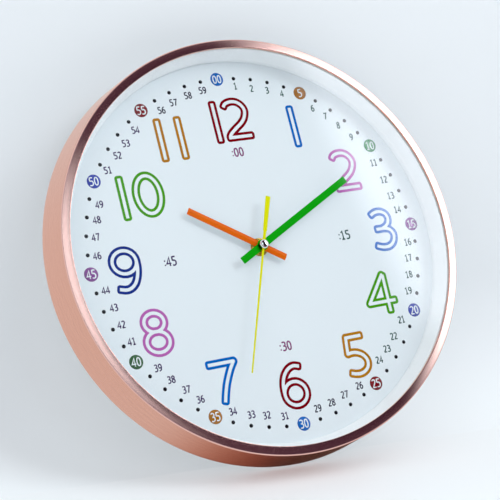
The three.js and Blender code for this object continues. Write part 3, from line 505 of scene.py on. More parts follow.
stage_material("studio_floor_coat", 0.22)
stage_material("studio_wall_coat", 0.0)
bend = WALL_DEPTH - SWEEP_RADIUS
sweep = np.radians(np.linspace(0.0, 90.0, 13))
floor = stage_sheet("studio_floor", "studio_floor_coat", [
    (depth, FLOOR_LEVEL) for depth in (FLOOR_FRONT, 0.0, bend)])
wall = stage_sheet("studio_wall", "studio_wall_coat", [
    *zip(bend + SWEEP_RADIUS * np.sin(sweep), FLOOR_LEVEL + SWEEP_RADIUS * (1 - np.cos(sweep))),
    (WALL_DEPTH, FLOOR_LEVEL + WALL_RISE)])
wall.visible_diffuse = False
wall.visible_shadow = False
floor.visible_glossy = False
wall.visible_glossy = False

# ---- light

DIAL_MIDDLE = Vector((0, -0.02, -0.088))


def soft_light(name, direction, distance, size, power, colour):
    """Square panel that faces the dial. It lights matt surfaces only, so the gloss on
    metal and glass comes from the painted surroundings."""
    data = bpy.data.lights.new(name, "AREA")
    data.shape = "SQUARE"
    data.size = size
    data.energy = power
    data.color = colour
    lamp = new_object(name, data)
    away = Vector(direction).normalized()
    lamp.matrix_world = (Matrix.Translation(DIAL_MIDDLE + away * distance)
                         @ away.to_track_quat("Z", "Y").to_matrix().to_4x4())
    lamp.visible_camera = False
    lamp.visible_glossy = False
    lamp.visible_transmission = False


soft_light("key_panel", (0.46, -0.78, 0.50), 1.3, 0.8, 3.9, (0.99, 0.995, 1.0))
soft_light("fill_panel", (-0.60, -0.95, 0.15), 1.6, 1.4, 3.2, (0.94, 0.98, 1.0))
soft_light("top_panel", (0.00, -0.45, 0.90), 1.8, 1.6, 2.9, (0.94, 0.98, 1.0))

MIRRORED = (0.518, 0.21)  # slopes (right, up) at which the dial's middle mirrors the air
PANEL_LIGHT, PANEL_SIDE, PANEL_FOOT = (6.1, 6.3, 6.8, 1), (0.584, 0.626), (0.10, 0.14)
GLOW_LIGHT = (1.0, 1.15, 1.22, 1)
DARK_AHEAD, DUSK = (0.002, 0.002, 0.002, 1), (0.060, 0.021, 0.046, 1)
PALE_AIR, SEEN_AIR = (0.80, 0.83, 0.85, 1), (0.82, 0.88, 0.92, 1)
SHADE_DEPTH, GREEN_FALL, BLUE_FALL = 0.98, 2.1, 2.6


def glass_glow(right, high, reach):
    """Bright panel mirrored by dial and glass: its left edge leans, its foot is level."""
    lean = maths("MULTIPLY_ADD", maths("SUBTRACT", high, 0.24), 0.23, right)
    return product(ease(lean, *PANEL_SIDE), ease(high, *PANEL_FOOT), ease(reach, 0.27, 0.22))


def rim_glow(minute, reach):
    """What the bezel mirrors, by minute of the dial and by reach from the middle: white
    from minute 4 to 22, and a softer glow from 37 to 50 that widens with the reach."""
    right = product(ease(minute, 0.9, 10.0), ease(minute, 24.0, 16.6), 3.7)
    start, full, peak = (spread(reach, 0.26, 0.50, inner, outer) for inner, outer in (
        (-20.0, -26.4), (-15.2, -17.6), (0.76, 1.92)))
    left = product(ease(minute, start, full), ease(minute, -8.3, -14.4), peak,
                   ease(reach, 0.55, 0.50))
    return maths("ADD", right, left)


def surroundings():
    """What gloss sees: a dim middle ahead of the dial with a panel at its right, glows
    to the right and left of it, pale air all round, and a warm shade low at the rear.
    The camera sees plain pale air."""
    world = bpy.data.worlds.new("studio_air")
    scene.world = world
    world.use_nodes = True
    tree = world.node_tree
    tree.nodes.clear()
    way = add(tree, "TexCoord", {}).outputs["Generated"]
    x, y, z = add(tree, "SeparateXYZ", {0: way}).outputs
    ahead = maths("MAXIMUM", product(y, -1.0), 0.02)
    right, high = (maths("DIVIDE", side, ahead) for side in (x, z))
    off_right = maths("SUBTRACT", right, MIRRORED[0])
    off_high = maths("SUBTRACT", high, MIRRORED[1])
    reach = length_of(off_right, off_high)
    minute = product(maths("ARCTAN2", off_right, off_high), 60 / TAU)
    ring = product(rim_glow(minute, reach), ease(reach, 0.19, 0.25), spread(reach, 0.80, 0.72))
    dusk = mix_colour(spread(reach, 0.17, 0.20), DARK_AHEAD, DUSK)
    dim = mix_colour(ring, dusk, GLOW_LIGHT, clamp_factor=False)
    aside = length_of(x, z)
    low = product(spread(x, -0.14, 0.37), spread(z, 0.15, -0.05), spread(y, 0.15, 0.45),
                  spread(aside, 0.22, 0.30), spread(aside, 0.78, 0.66))
    kept = maths("SUBTRACT", 1.0, product(low, SHADE_DEPTH))
    warm = beside("CombineColor", {0: kept, 1: maths("POWER", kept, GREEN_FALL),
                                   2: maths("POWER", kept, BLUE_FALL)})
    pale = mix_colour(1.0, warm, PALE_AIR, blend_type="MULTIPLY")
    open_air = maths("MAXIMUM", ease(reach, 0.72, 1.0), ease(y, -0.15, 0.05))
    air = mix_colour(open_air, dim, pale)
    lit = mix_colour(glass_glow(right, high, reach), air, PANEL_LIGHT)
    gloss, seen = (add(tree, "Background", {"Color": colour, "Strength": 1.0}).outputs[0]
                   for colour in (lit, SEEN_AIR))
    camera_ray = add(tree, "LightPath", {}).outputs["Is Camera Ray"]
    mixed = add(tree, "MixShader", {0: camera_ray, 1: gloss, 2: seen})
    add(tree, "OutputWorld", {"Surface": mixed.outputs[0]})


surroundings()

# ---- finishes

turned_metal("rose_brushed", (0.91, 0.575, 0.52), (0.85, 0.50, 0.45), 0.13, 0.02, anisotropic=1)
turned_metal("rose_satin", (0.85, 0.45, 0.335), (0.765, 0.38, 0.28), 0.29, relief=2.5,
             fineness=11000)
turned_metal("brass_turned", (0.84, 0.60, 0.11), (0.66, 0.43, 0.05), 0.24, relief=1, metallic=0.86)
clear_glass()

# Name, light and dark tone in thousandths of red, green and blue, then the rest of what
# paint() takes, in its order. The inks leave the rest as it is there.
FINISHES = """
dial_coat 800,855,890 785,840,875 .05 .01 9 1500 .06 0 0 .04
ring_white 910,935,950 890,915,930 .28 .05 14 1200 .3 2
moulded_white 800,810,810 750,760,765 .48 .14 18 900 .45 30
moulded_black 22,23,25 34,35,37 .5 .16 24 1100 .5 25
gear_resin 760,720,620 680,640,530 .45 .12 60 2400 .4 8
knob_resin 780,780,750 700,700,670 .42 .12 60 2400 .4 10
plated_steel 620,630,650 500,510,530 .3 .22 90 2600 .5 4 1
washer_rubber 20,20,21 34,34,35 .82 .15 80 2600 .5 15
board_coat 12,140,55 20,190,80 .38 .15 90 2600 .5 8
chip_resin 12,12,13 30,30,30 .45 .2 200 3000 .5 10
wound_copper 620,250,100 420,150,60 .34 .2 120 4000 .6 20 1
magnet_grey 100,100,110 160,160,170 .4 .2 120 2600 .5 6 .8
cell_sleeve 50,220,420 35,170,340 .3 .12 40 1800 .3 4
cell_band 780,790,800 700,710,720 .28 .12 40 1800 .3 4
hand_orange 800,148,1 700,100,1 .26 .1 60 2200 .35 2 0 .14
hand_green 0,370,1 0,320,0 .26 .1 60 2200 .35 2 0 .04
hand_yellow 760,770,1 690,700,1 .26 .1 60 2200 .35 2 0 .04
hand_rear 720,730,740 640,650,660 .45 .12 60 2200 .4 3
cap_chrome 920,920,940 840,840,870 .035 .03 90 1500 .3 0 1
ink_red 220,0,6 200,0,5
ink_blue 0,135,530 0,120,490
ink_pink 500,130,450 460,115,410
ink_green 65,340,4 55,300,3
ink_amber 460,190,8 410,165,6
ink_navy 3,26,250 2,21,210
ink_purple 260,75,320 230,65,280
ink_indigo 30,55,420 25,45,380
ink_forest 35,130,45 28,110,36
ink_leaf 50,300,120 40,260,100
ink_rust 400,150,6 350,125,5
ink_teal 20,85,75 16,70,62
ink_slate 22,20,55 18,16,45
ink_violet 50,22,115 42,18,95
ink_plum 240,35,170 210,30,150
ink_black 1,1,4 3,3,7
ink_paper 840,890,920 820,870,900
"""
for row in FINISHES.strip().splitlines():
    name, light, dark, *numbers = row.split()
    paint(name, *points_of(light + " " + dark) / 1000, *map(float, numbers))

# ---- case, glass, rings

BORE_TILT, EDGE_TILT = 0.04, 0.17    # slope of the bezel's face at the bore and the edge
BRIGHT_ROWS = (1, 23)                # rows from the lip to the middle of the round corner


def case_profile():
    """Closed profile of the spun ring: a lip that rolls down to the glass, a face that
    falls outwards ever faster, a round corner, the side wall that opens to the rear,
    and the hem."""
    share = np.linspace(0.06, 1.0, 14)
    fall = BORE_TILT * share + (EDGE_TILT - BORE_TILT) * share ** 2 / 2
    return [
        (141.1, 36.35), (141.1, 37.68), (141.15, 37.85), (141.26, 37.93),
        *zip(141.1 + 5.2 * share, 37.98 - 5.2 * fall), *arc((146.25, 36.2), 1.25, 80, 0, 8),
        (148.2, 28.0), (149.0, 18.0), (149.8, 8.5), (150.15, 4.3),
        *arc((149.5, 4.15), 0.65, 0, -90, 5), (146.7, 3.5), (146.4, 3.8), (146.4, 4.4),
        (146.7, 4.7), (149.0, 4.7), (147.7, 20.0), (146.3, 36.7), (142.4, 36.7),
    ]


def make_case():
    profile = case_profile()
    row = np.repeat(np.arange(len(profile)), RIM_STEPS)
    satin = (row < BRIGHT_ROWS[0]) | (row >= BRIGHT_ROWS[1])
    piece = new_mesh("case_shell", *revolve(profile), satin)
    dress(smooth(piece, 60.0), "case", "rose_metal", "rose_brushed", "rose_satin",
          replaces="case_ring")


def make_rings():
    """White ring, front glass and its gasket."""
    cone = rounded([(137.0, 19.5), (145.7, 19.5), (145.7, 21.1), (138.6, 21.1), (138.6, 23.5),
                    (142.7, 32.5), (145.7, 32.5), (145.7, 34.1), (141.1, 34.1), (137.0, 23.5)], 0.5)
    disc = [(0, 34.1), (145.3, 34.1), *arc((145.4, 34.4), 0.3, -90, 0, 3),
            *arc((145.4, 35.8), 0.3, 0, 90, 3), (145.3, 36.1), (0, 36.1)]
    band = rounded([(142.5, 36.1), (145.7, 36.1), (145.7, 36.7), (142.5, 36.7)], 0.2)
    for name, profile, degrees, slot, finish, node in (
            ("spacer_ring", cone, 40.0, "white_plastic", "ring_white", "inner_ring"),
            ("front_glass", disc, 20.0, "clear_glass", "front_glass", "glass_lens"),
            ("glass_seat", band, 35.0, "gasket_rubber", "washer_rubber", "lens_gasket")):
        dress(smooth(new_mesh(name, *revolve(profile)), degrees), "case", slot, finish,
              replaces=node)


make_case()
make_rings()

# ---- hands and hub


def bar(stations, profile, angle):
    """Section carried along a hand: each station gives (distance from the axis, width,
    height share); the section's x is scaled by the width and its height by the share."""
    stations, section = np.asarray(stations, float), np.asarray(profile, float)
    across = section[None, :, 0] * stations[:, 1:2]
    rear = section[:, 1].min()
    front = rear + (section[None, :, 1] - rear) * stations[:, 2:3]
    along = stations[:, :1]
    sine, cosine = math.sin(math.radians(angle)), math.cos(math.radians(angle))
    return shell(place(together(along * sine + across * cosine, front,
                                along * cosine - across * sine)), True)


def flat_section(rear, thickness, edge):
    """Section of width 1 with small rounds on the front edges."""
    front = rear + thickness
    return [(-0.5, rear), (-0.5, front - edge), (-0.48, front - edge * 0.3), (-0.45, front),
            (0.45, front), (0.48, front - edge * 0.3), (0.5, front - edge), (0.5, rear)]


def boss(radius, rear, front, bore, edge=0.12):
    corners = [(bore, rear), (radius, rear), (radius, front), (bore, front)]
    return revolve(rounded(corners, edge), HUB_STEPS)


def make_hand(name, node, tone, degrees, shells):
    """Hand sprayed from the front only: faces that look to the wall stay bare."""
    hand = smooth(joined(name, shells), degrees)
    normals = np.empty(3 * len(hand.data.polygons), np.float32)
    hand.data.polygons.foreach_get("normal", normals)
    hand.data.polygons.foreach_set("material_index", (normals[1::3] > 0.5).astype(np.int32))
    dress(hand, node, "hand_" + tone, "hand_" + tone, "hand_rear", replaces=node)


def make_hands():
    rear, ridge = 23.4, 0.85
    roof = [(-0.5, rear), (-0.5, rear + 0.10), (-0.487, rear + 0.16), (0.0, rear + ridge),
            (0.487, rear + 0.16), (0.5, rear + 0.10), (0.5, rear)]
    make_hand("hour_pointer", "hour_hand", "orange", 12.0, [
        bar([(-19.5, 4.9, 0.9), (-19.4, 5, 1), (57.6, 5, 1), (57.7, 4.9, 0.9)], roof, 303.5),
        boss(4.0, rear, rear + ridge, 2.52)])
    rear = 25.25
    make_hand("minute_pointer", "minute_hand", "green", 20.0, [
        bar([(-20, 5, 0.8), (-19.9, 5.1, 1), (85.9, 5.1, 1), (86, 5, 0.8)],
            flat_section(rear, 0.45, 0.12), 63.6),
        boss(4.0, rear, rear + 0.45, 1.62)])
    rear = 27.1
    blade = flat_section(rear, 0.4, 0.1)
    weight = [(-35.5, 3.5, 0.8), (-35.4, 3.6, 1), (-10.1, 2.9, 1), (-10, 2.8, 0.8)]
    pointer = [(-10.3, 2.1, 0.97), (-0.1, 2.1, 0.97), (0.1, 1.6, 0.97), (91.4, 1.02, 0.97),
               (91.5, 0.9, 0.8)]
    make_hand("second_pointer", "second_hand", "yellow", 20.0, [
        bar(weight, blade, 200.6), bar(pointer, blade, 200.6),
        boss(2.6, rear, rear + 0.4, 0.72, 0.08)])
    dome = np.radians(np.linspace(0, 86, 14))
    cap = new_mesh("hub_cap", *revolve([
        (0, 27.5), (3.0, 27.5), (3.14, 27.56), (3.2, 27.7), (3.2, 28.1),
        *zip(3.2 * np.cos(dome) ** 0.74, 28.2 + 1.3 * np.sin(dome) ** 0.74), (0, 29.5)],
        HUB_STEPS))
    dress(smooth(cap, 50.0), "second_hand", "chrome_cap", "cap_chrome", replaces="hand_cap")


def make_hub():
    """Washer and nut. The nut's rows are (front, size): on the bore the size is the
    radius, and outside it the hexagon is cut down to a circle of that radius, which
    turns down the corners."""
    washer = new_mesh("hub_washer", *boss(6.5, 19.5, 20.0, 4.2, 0.22))
    dress(smooth(washer), "case", "brass", "brass_turned", replaces="brass_washer")
    half_flats = 5.5
    angle = full_turn(72)
    hexagon = half_flats / np.cos((angle + TAU / 12) % (TAU / 6) - TAU / 12)
    rows = [(20.0, 4.2), (20.0, 6.0), (20.25, 6.4), (21.6, 6.4), (21.9, 5.9), (22.0, 5.45),
            (22.0, 4.3), (21.8, 4.2)]
    front, size = np.array(rows).T[..., None]
    radius = np.minimum(hexagon, size)
    grid = together(radius * np.sin(angle), front, radius * np.cos(angle))
    nut = new_mesh("hub_nut", *shell(place(grid)))
    dress(smooth(nut, 25.0), "case", "brass", "brass_turned", replaces="brass_nut")


make_hands()
make_hub()

# ---- the print

# Strokes of the hour digits in tenths of a millimetre, x right and y down from the upper
# left of the digit's box. [ and ] stand for square ends, ( and ) for round ones.
DIGIT_STROKES = {
    "1": "[29,19 29,309]",
    "2": "[29,62 43,42 68,30 103,26 138,34 168,58 185,92 182,126 163,164 133,194 93,222 53,252"
         " 32,274 27,290) / [14,289 202,289]",
    "3": "[30,46 57,32 87,25 122,29 152,48 165,78 159,110 137,136 102,152) / [45,153 112,153)"
         " / (112,153 152,164 176,194 177,227 158,264 122,287 82,290 47,283 20,272]",
    "4": "[178,17 171,293] / (170,20 20,210) / (18,213 236,213]",
    "5": "[34,24 169,24] / (44,24 30,136] / (30,138 65,134 105,140 145,162 170,202 164,245"
         " 135,274 95,287 55,284 18,273]",
    "6": "[187,36 141,25 97,40 59,78 38,122 29,168 27.5,213)",
    "7": "[14,24 216,24] / (208,26 178,66 150,113 122,168 98,230 79,291]",
    "9": "(199,105 197,153 184,208 158,258 120,287 82,293 36,282]",
}
DIGIT_OVALS = {
    "0": [(114, 159, 88, 134.5, 36)], "6": [(112, 213, 84.5, 82)],
    "8": [(109.5, 89, 72, 64), (110, 222.5, 82.5, 71.5)], "9": [(113, 105, 86, 80)],
}
CORE = 1.0                # half the width of a digit's open channel, less the ink's inset
INK_INSET, INK_OUTER = 0.14, 2.06
END_TRIM = 0.5            # square ends are drawn back by this much
CELL, MARGIN = 0.25, 3.2  # the fine grid's cell and how far it goes past the strokes
NUDGE, LONGEST_PUSH = 0.02, 0.15

# Hour numerals: ink, and for each digit its glyph and the upper left of its box
HOUR_NUMERALS = {
    "red": [("1", -11.5, 110.0), ("2", -3.4, 110.1), ("6", -11.3, -82.4)],
    "blue": [("1", 47.95, 100.4), ("3", 90.4, 15.3), ("7", -60.8, -71.4)],
    "pink": [("2", 71.5, 62.6), ("8", -100.5, -29.8)],
    "green": [("4", 72.3, -31.3), ("1", -93.3, 64.6), ("0", -83.2, 64.4)],
    "amber": [("5", 43.6, -70.6), ("1", -56.0, 101.8), ("1", -40.7, 101.8)],
    "navy": [("9", -111.6, 15.2)],
}


def strokes_of(glyph, left, top):
    """Centre lines of a digit in millimetres from the print's middle, each with whether
    its start and its end are square."""
    strokes = [(oval(*shape), (False, False)) for shape in DIGIT_OVALS.get(glyph, ())]
    if glyph in DIGIT_STROKES:
        for text in DIGIT_STROKES[glyph].split(" / "):
            line = points_of(text[1:-1])
            path = line if len(line) == 2 else smooth_path(line, 8)
            strokes.append((path, (text[0] == "[", text[-1] == "]")))
    placed = []
    for path, squares in strokes:
        path = [left, top] + path / [10, -10]
        for end, near, square in zip((0, -1), (1, -2), squares):
            if square:
                back = path[near] - path[end]
                path[end] += back / lengths(back) * min(END_TRIM, 0.7 * np.linalg.norm(back))
        placed.append((path, squares))
    return placed


def core_distance(points, strokes):
    """Distance to the flat ribbons round the centre lines: for each straight piece the
    distance to its box, and for a round end or a joint the distance to a disc."""
    nearest = np.full(len(points), 1e3)
    for path, squares in strokes:
        a, b = path[:-1], path[1:]
        length = np.linalg.norm(b - a, axis=1)
        unit = (b - a) / length[:, None]
        offset = points[:, None] - (a + b)[None] / 2
        along = np.abs(np.einsum("ijk,jk->ij", offset, unit)) - length / 2
        across = np.abs(offset[..., 0] * unit[:, 1] - offset[..., 1] * unit[:, 0]) - CORE
        box = np.hypot(np.maximum(along, 0), np.maximum(across, 0))
        nearest = np.minimum(nearest, box.min(1))
        for end, square in zip((path[0], path[-1]), squares):
            if not square:
                disc = np.maximum(np.linalg.norm(points - end, axis=1) - CORE, 0)
                nearest = np.minimum(nearest, disc)
    return nearest


def outlined_digit(glyph, left, top):
    """The inked outline: cells of a fine grid whose middle lies between two distances
    from the core, with the corners on the border moved along the distance's slope onto
    the exact contour."""
    strokes = strokes_of(glyph, left, top)
    every = np.concatenate([path for path, _ in strokes])
    low, high = every.min(0) - MARGIN, every.max(0) + MARGIN
    count = np.ceil((high - low) / CELL).astype(int) + 1
    lines = [start + CELL * np.arange(steps) for start, steps in zip(low, count)]
    grid = together(lines[0][:, None], lines[1])
    distance = core_distance((grid[:-1, :-1] + CELL / 2).reshape(-1, 2), strokes)
    kept = (distance > INK_INSET) & (distance < INK_OUTER)
    used, cells = np.unique(grid_faces(*count)[kept], return_inverse=True)
    cells = cells.reshape(-1, 4)
    points = grid.reshape(-1, 2)[used]
    border = np.bincount(cells.ravel()) < 4
    edge = points[border]
    for _ in range(3):
        here = core_distance(edge, strokes)
        slope = together(*(core_distance(edge + shift, strokes) - here
                           for shift in ((NUDGE, 0), (0, NUDGE)))) / NUDGE
        goal = np.where(here < (INK_INSET + INK_OUTER) / 2, INK_INSET, INK_OUTER)
        push = (goal - here)[:, None] * slope / np.maximum((slope ** 2).sum(1), 0.5)[:, None]
        edge = edge + np.clip(push, -LONGEST_PUSH, LONGEST_PUSH)
    points[border] = edge
    return np.column_stack([points, np.zeros(len(points))]), [cells]


# Small figures as centre lines in hundredths of their height, x right and y up
FIGURE_LINES = {
    "0": "26,94 12,84 6,50 12,16 26,6 40,16 46,50 40,84 26,94",
    "1": "8,80 27,95 27,6 / 9,6 45,6",
    "2": "6,84 22,95 39,90 44,72 35,50 7,7 / 5,6 48,6",
    "3": "7,89 24,95 40,88 42,70 33,55 17,53 / 17,53 37,50 46,33 39,12 22,5 5,10",
    "4": "37,2 37,95 3,30 52,30",
    "5": "45,94 12,94 10,56 / 10,56 28,58 42,49 46,31 38,11 22,5 5,10",
    "6": "43,92 27,90 13,72 7,36 14,12 27,5 41,13 46,31 39,51 26,56 10,44",
    "7": "5,94 47,94 36,62 19,3",
    "8": "26,53 12,63 10,82 26,95 42,82 40,63 26,53 10,40 8,18 26,5 44,18 42,40 26,53",
    "9": "9,8 25,10 39,28 45,64 38,88 25,95 11,87 6,69 13,49 26,44 42,56",
}
CORNERED = "147"          # figures with straight strokes and sharp corners
FIGURE_WIDTH, COLON_PITCH = 0.52, 0.30
STROKE_RISE = 0.006
MITRE_LIMIT = 0.6         # keeps sharp bends from running out to long points


def ribbon(path, width, lift):
    """Band along a path: every point goes half the width to either side, along the
    mean of the normals before and after it. It rises a hair along its length, so that
    a stroke which crosses itself or another lies over it."""
    step = np.diff(path, axis=0)
    step /= np.maximum(lengths(step), 1e-9)
    side = together(-step[:, 1], step[:, 0])
    first, last = side[:1], side[-1:]
    if np.allclose(path[0], path[-1]):
        first = last = (first + last) / lengths(first + last)
    mean = np.concatenate([first, side[:-1] + side[1:], last])
    mean[1:-1] /= np.maximum(lengths(mean[1:-1]), 1e-9)
    turn = np.concatenate([[1.0], np.einsum("ij,ij->i", mean[1:-1], side[1:]), [1.0]])
    reach = mean * (width / 2) / np.maximum(turn, MITRE_LIMIT)[:, None]
    points = np.stack([path - reach, path + reach], 1).reshape(-1, 2)
    rise = np.repeat(lift + STROKE_RISE * np.linspace(0.0, 1.0, len(path)), 2)
    return np.column_stack([points, rise]), [grid_faces(len(path), 2)]


def round_spot(x, y, radius, steps=28):
    """Disc of ink: rings of points whose radius grows from the middle, and a fan
    inside the smallest."""
    angle, near = full_turn(steps), np.arange(steps)
    rings = np.array([0.35, 1.0])[:, None] * radius
    grid = together(x + rings * np.sin(angle), y + rings * np.cos(angle), 0.0)
    points = np.concatenate([grid.reshape(-1, 3), [grid[0].mean(0)]])
    return points, [grid_faces(2, steps, False, True),
                    together(near, (near + 1) % steps, len(points) - 1)]


def figure(glyph, x, y, height, weight):
    """One small figure with its lower left at (x, y)."""
    if glyph == ":":
        return [round_spot(x + 0.13 * height, y + share * height, 0.085 * height, 10)
                for share in (0.18, 0.62)]
    parts = []
    for order, text in enumerate(FIGURE_LINES[glyph].split(" / ")):
        path = points_of(text) / 100
        if len(path) > 2 and glyph not in CORNERED:
            closed = np.allclose(path[0], path[-1])
            path = smooth_path(path[:-1] if closed else path, 2, closed)
            if closed:
                path = np.concatenate([path, path[:1]])
        parts.append(ribbon(path * height + [x, y], weight * height, order * STROKE_RISE))
    return parts


def wording(text, x, y, height, pitch=0.60, weight=0.17):
    """Figures in a row, centred on (x, y)."""
    widths = [COLON_PITCH if glyph == ":" else pitch for glyph in text]
    left = x - (sum(widths) - pitch + FIGURE_WIDTH) * height / 2
    parts = []
    for glyph, width in zip(text, widths):
        parts += figure(glyph, left, y - height / 2, height, weight)
        left += width * height
    return parts


def ink_piece(name, tone, parts, rear=19.48, front=19.535):
    """Thin slab of ink from flat parts (x, z, rise), lying on the dial."""
    piece = joined(name, [
        (place(points[:, [0, 2, 1]] + (0, rear, 0), PRINT_DROP), faces) for points, faces in parts])
    mesh = bmesh.new()
    mesh.from_mesh(piece.data)
    for face in mesh.faces:
        face.normal_update()
        if face.normal.y > 0:
            face.normal_flip()
    mesh.to_mesh(piece.data)
    mesh.free()
    slab = piece.modifiers.new("thickness", "SOLIDIFY")
    slab.thickness = (front - rear) * MM
    slab.offset = 1.0
    slab.use_even_offset = False
    dress(piece, "case", "dial_face", "ink_" + tone)


# Middles of the minute figures, from 1 on without those of the discs, in fifths of a
# millimetre from the upper left of a square round the dial
MINUTE_PLACES = points_of(
    "840,182 901,197 960,210 1015,228 1123,296 1166,331 1209,371 1250,421 1313,528 1336,596"
    " 1347,659 1359,714 1365,839 1350,897 1334,957 1314,1015 1254,1113 1206,1166 1166,1205"
    " 1124,1238 1020,1312 955,1332 898,1349 841,1359 712,1361 647,1346 592,1333 529,1310"
    " 425,1249 384,1208 340,1166 304,1120 235,1018 213,957 201,897 187,835 185,716 195,653"
    " 213,595 234,544 292,430 339,383 379,344 425,301 538,241 589,218 650,198 710,185")
HALF_SQUARE = 155
DISC_INKS = "blue rust leaf purple indigo red blue rust forest purple indigo red".split()
TRACK = 125.0


def on_track(minute):
    angle = TAU * minute / 60
    return TRACK * math.sin(angle), TRACK * math.cos(angle)


def make_print():
    for tone, digits in HOUR_NUMERALS.items():
        ink_piece("hour_numerals_" + tone, tone, [outlined_digit(*digit) for digit in digits])
    plain_minutes = [minute for minute in range(60) if minute % 5]
    minutes = {"teal": [], "slate": [], "violet": []}
    for minute, (px, py) in zip(plain_minutes, MINUTE_PLACES):
        tone = "teal" if minute < 25 else "slate" if minute < 30 or minute > 55 else "violet"
        minutes[tone] += wording(str(minute), px / 5 - HALF_SQUARE, HALF_SQUARE - py / 5, 5.0)
    for tone, parts in minutes.items():
        ink_piece("minute_figures_" + tone, tone, parts)
    dots = [round_spot(*on_track(minute), 1.38, 24) for minute in plain_minutes]
    ink_piece("minute_dots", "black", dots)
    discs, figures = {}, []
    for minute, tone in zip(range(0, 60, 5), DISC_INKS):
        x, y = on_track(minute)
        discs.setdefault(tone, []).append(round_spot(x, y, 4.9, 48))
        figures += wording(str(minute) if minute else "00", x, y, 6.1, 0.58, 0.135)
    for tone, parts in discs.items():
        ink_piece("minute_discs_" + tone, tone, parts)
    ink_piece("disc_figures", "paper", figures, 19.53, 19.58)
    quarters = {"plum": [(":00", 1.8, 70.2), (":30", 0.8, -70.6)], "teal": [(":15", 68.0, -0.4)],
                "violet": [(":45", -68.0, 0.4)]}
    for tone, marks in quarters.items():
        parts = [part for mark in marks for part in wording(*mark, 6.6, weight=0.16)]
        ink_piece("quarter_marks_" + tone, tone, parts)


make_print()

# ---- moulded and pressed pieces

EDGE_ANGLE = math.radians(35.0)


def softened(name, node, slot, finish, edge, body="case"):
    """The node's own shape with its triangles merged, its flats made whole and its
    edges rounded."""
    mesh = nodes[node].data.copy()
    mesh.name = name
    mesh.materials.clear()
    work = bmesh.new()
    work.from_mesh(mesh)
    bmesh.ops.remove_doubles(work, verts=work.verts, dist=1e-5)
    bmesh.ops.dissolve_limit(work, angle_limit=math.radians(0.5), verts=work.verts,
                             edges=work.edges)
    work.to_mesh(mesh)
    work.free()
    piece = smooth(new_object(name, mesh))
    bevel = piece.modifiers.new("edges", "BEVEL")
    bevel.width = edge * MM
    bevel.segments = 2
    bevel.limit_method = "ANGLE"
    bevel.angle_limit = EDGE_ANGLE
    bevel.use_clamp_overlap = True
    bevel.harden_normals = True
    dress(piece, body, slot, finish, replaces=node)


softened("back_moulding", "back_cover", "white_plastic", "moulded_white", 0.4)
softened("movement_lid", "movement_cover", "black_plastic", "moulded_black", 0.25)
softened("movement_tray", "movement_base", "black_plastic", "moulded_black", 0.25)
softened("hanging_plate", "hanger_plate", "zinc_steel", "plated_steel", 0.15)
softened("setting_knob", "set_knob", "knob_plastic", "knob_resin", 0.15, "set_knob")
for number in "1234":
    softened("turn_clip_" + number, "retaining_clip_" + number, "zinc_steel", "plated_steel", 0.12)
    softened("turn_clip_screw_" + number, "clip_screw_" + number, "zinc_steel", "plated_steel",
             0.12)

# ---- battery and marks

CELL_FRONT, CELL_HEIGHT = 8.25, -19.25
# (radius, place along the cell, finish of the strip that starts here)
CELL_PROFILE = points_of(
    "5.9,-25.2,0 6.15,-25.1,0 6.2,-24.95,0 6.7,-25.0,1 7.05,-24.85,1"
    " 7.22,-24.4,1 7.22,10.0,2 7.22,12.0,1 7.22,13.0,2 7.22,23.0,2 7.05,23.5,2 6.6,23.75,2"
    " 6.2,23.65,0 2.75,23.75,0 2.7,23.9,0 2.65,25.0,0 2.5,25.2,0")


def make_battery():
    """Dry cell lying across the clock: radius as a function of the place along it,
    turned about its own line. Steel ends, a printed sleeve and a band near the plus."""
    radius, along, finish = CELL_PROFILE.T[..., None]
    turn = full_turn(HUB_STEPS)
    grid = together(along, CELL_FRONT + radius * np.cos(turn), CELL_HEIGHT + radius * np.sin(turn))
    zones = np.concatenate([finish[:-1].repeat(HUB_STEPS), np.zeros(2 * HUB_STEPS)])
    cell = new_mesh("dry_cell", *shell(place(grid), True), zones)
    dress(smooth(cell, 40.0), "case", "battery_sleeve", "plated_steel", "cell_sleeve",
          "cell_band", replaces="battery")


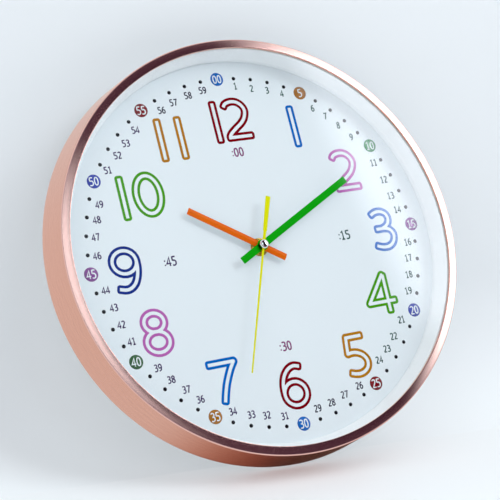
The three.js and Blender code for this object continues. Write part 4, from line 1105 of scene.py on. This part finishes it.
def raised_line(path, width, rear, front):
    """Bar of even width along a flat path, its four long edges from the ribbon's two."""
    points = ribbon(np.asarray(path, float), width, 0.0)[0][:, :2].reshape(-1, 2, 2)
    left, right = points[:, 0], points[:, 1]
    grid = np.stack([np.insert(side, 1, level, axis=1) for side, level in (
        (left, rear), (left, front), (right, front), (right, rear))], 1)
    return shell(place(grid), True)


def make_rear_marks():
    """Plus and minus over the cell's ends and a turning arrow round the setting knob,
    raised on the movement's lid, and two beads on the flange of the back."""
    lines = [[(21.0, -8.2), (24.0, -8.2)], [(22.5, -9.7), (22.5, -6.7)],
             [(-24.0, -8.2), (-21.0, -8.2)]]
    turn = np.radians(np.linspace(-150.0, 130.0, 36))
    knob = np.array([18.78, 9.52])
    lines.append(knob + 7.6 * together(np.sin(turn), np.cos(turn)))
    tip, way = lines[-1][-1], lines[-1][-1] - lines[-1][-2]
    way = way / lengths(way)
    side = np.array([-way[1], way[0]])
    lines.append([tip - 1.6 * way + 1.3 * side, tip + 0.2 * way, tip - 1.6 * way - 1.3 * side])
    marks = joined("lid_marks", [raised_line(line, 0.6, 0.2, 0.6) for line in lines])
    dress(smooth(marks), "case", "black_plastic", "moulded_black")
    beads = joined("back_beads", [revolve(rounded([
        (radius - 0.9, 6.1), (radius - 0.6, 5.35), (radius + 0.6, 5.35), (radius + 0.9, 6.1)], 0.3))
        for radius in (120.5, 127.5)])
    dress(smooth(beads), "case", "white_plastic", "moulded_white")


make_battery()
make_rear_marks()

# Carried-over nodes keep their shape and get a finish
PLAIN_NODES = {
    "dial_coat": "dial_plate",
    "plated_steel": "hanger_screw_1 hanger_screw_2 battery_contact_plus battery_contact_minus"
                    " quartz_crystal stator coil_core",
    "gear_resin": "train_plate hour_wheel minute_wheel centre_wheel third_wheel second_wheel"
                  " step_wheel coil_bobbin",
    "brass_turned": "threaded_bushing cannon_pinion",
    "washer_rubber": "rubber_washer",
    "board_coat": "circuit_board",
    "chip_resin": "control_chip",
    "wound_copper": "coil_winding",
    "magnet_grey": "rotor",
}
for finish, members in PLAIN_NODES.items():
    for member in members.split():
        piece = nodes[member]
        if len(piece.data.materials) == 0:
            piece.data.materials.append(made[finish])
        for slot in piece.material_slots:
            slot.material = made[finish]
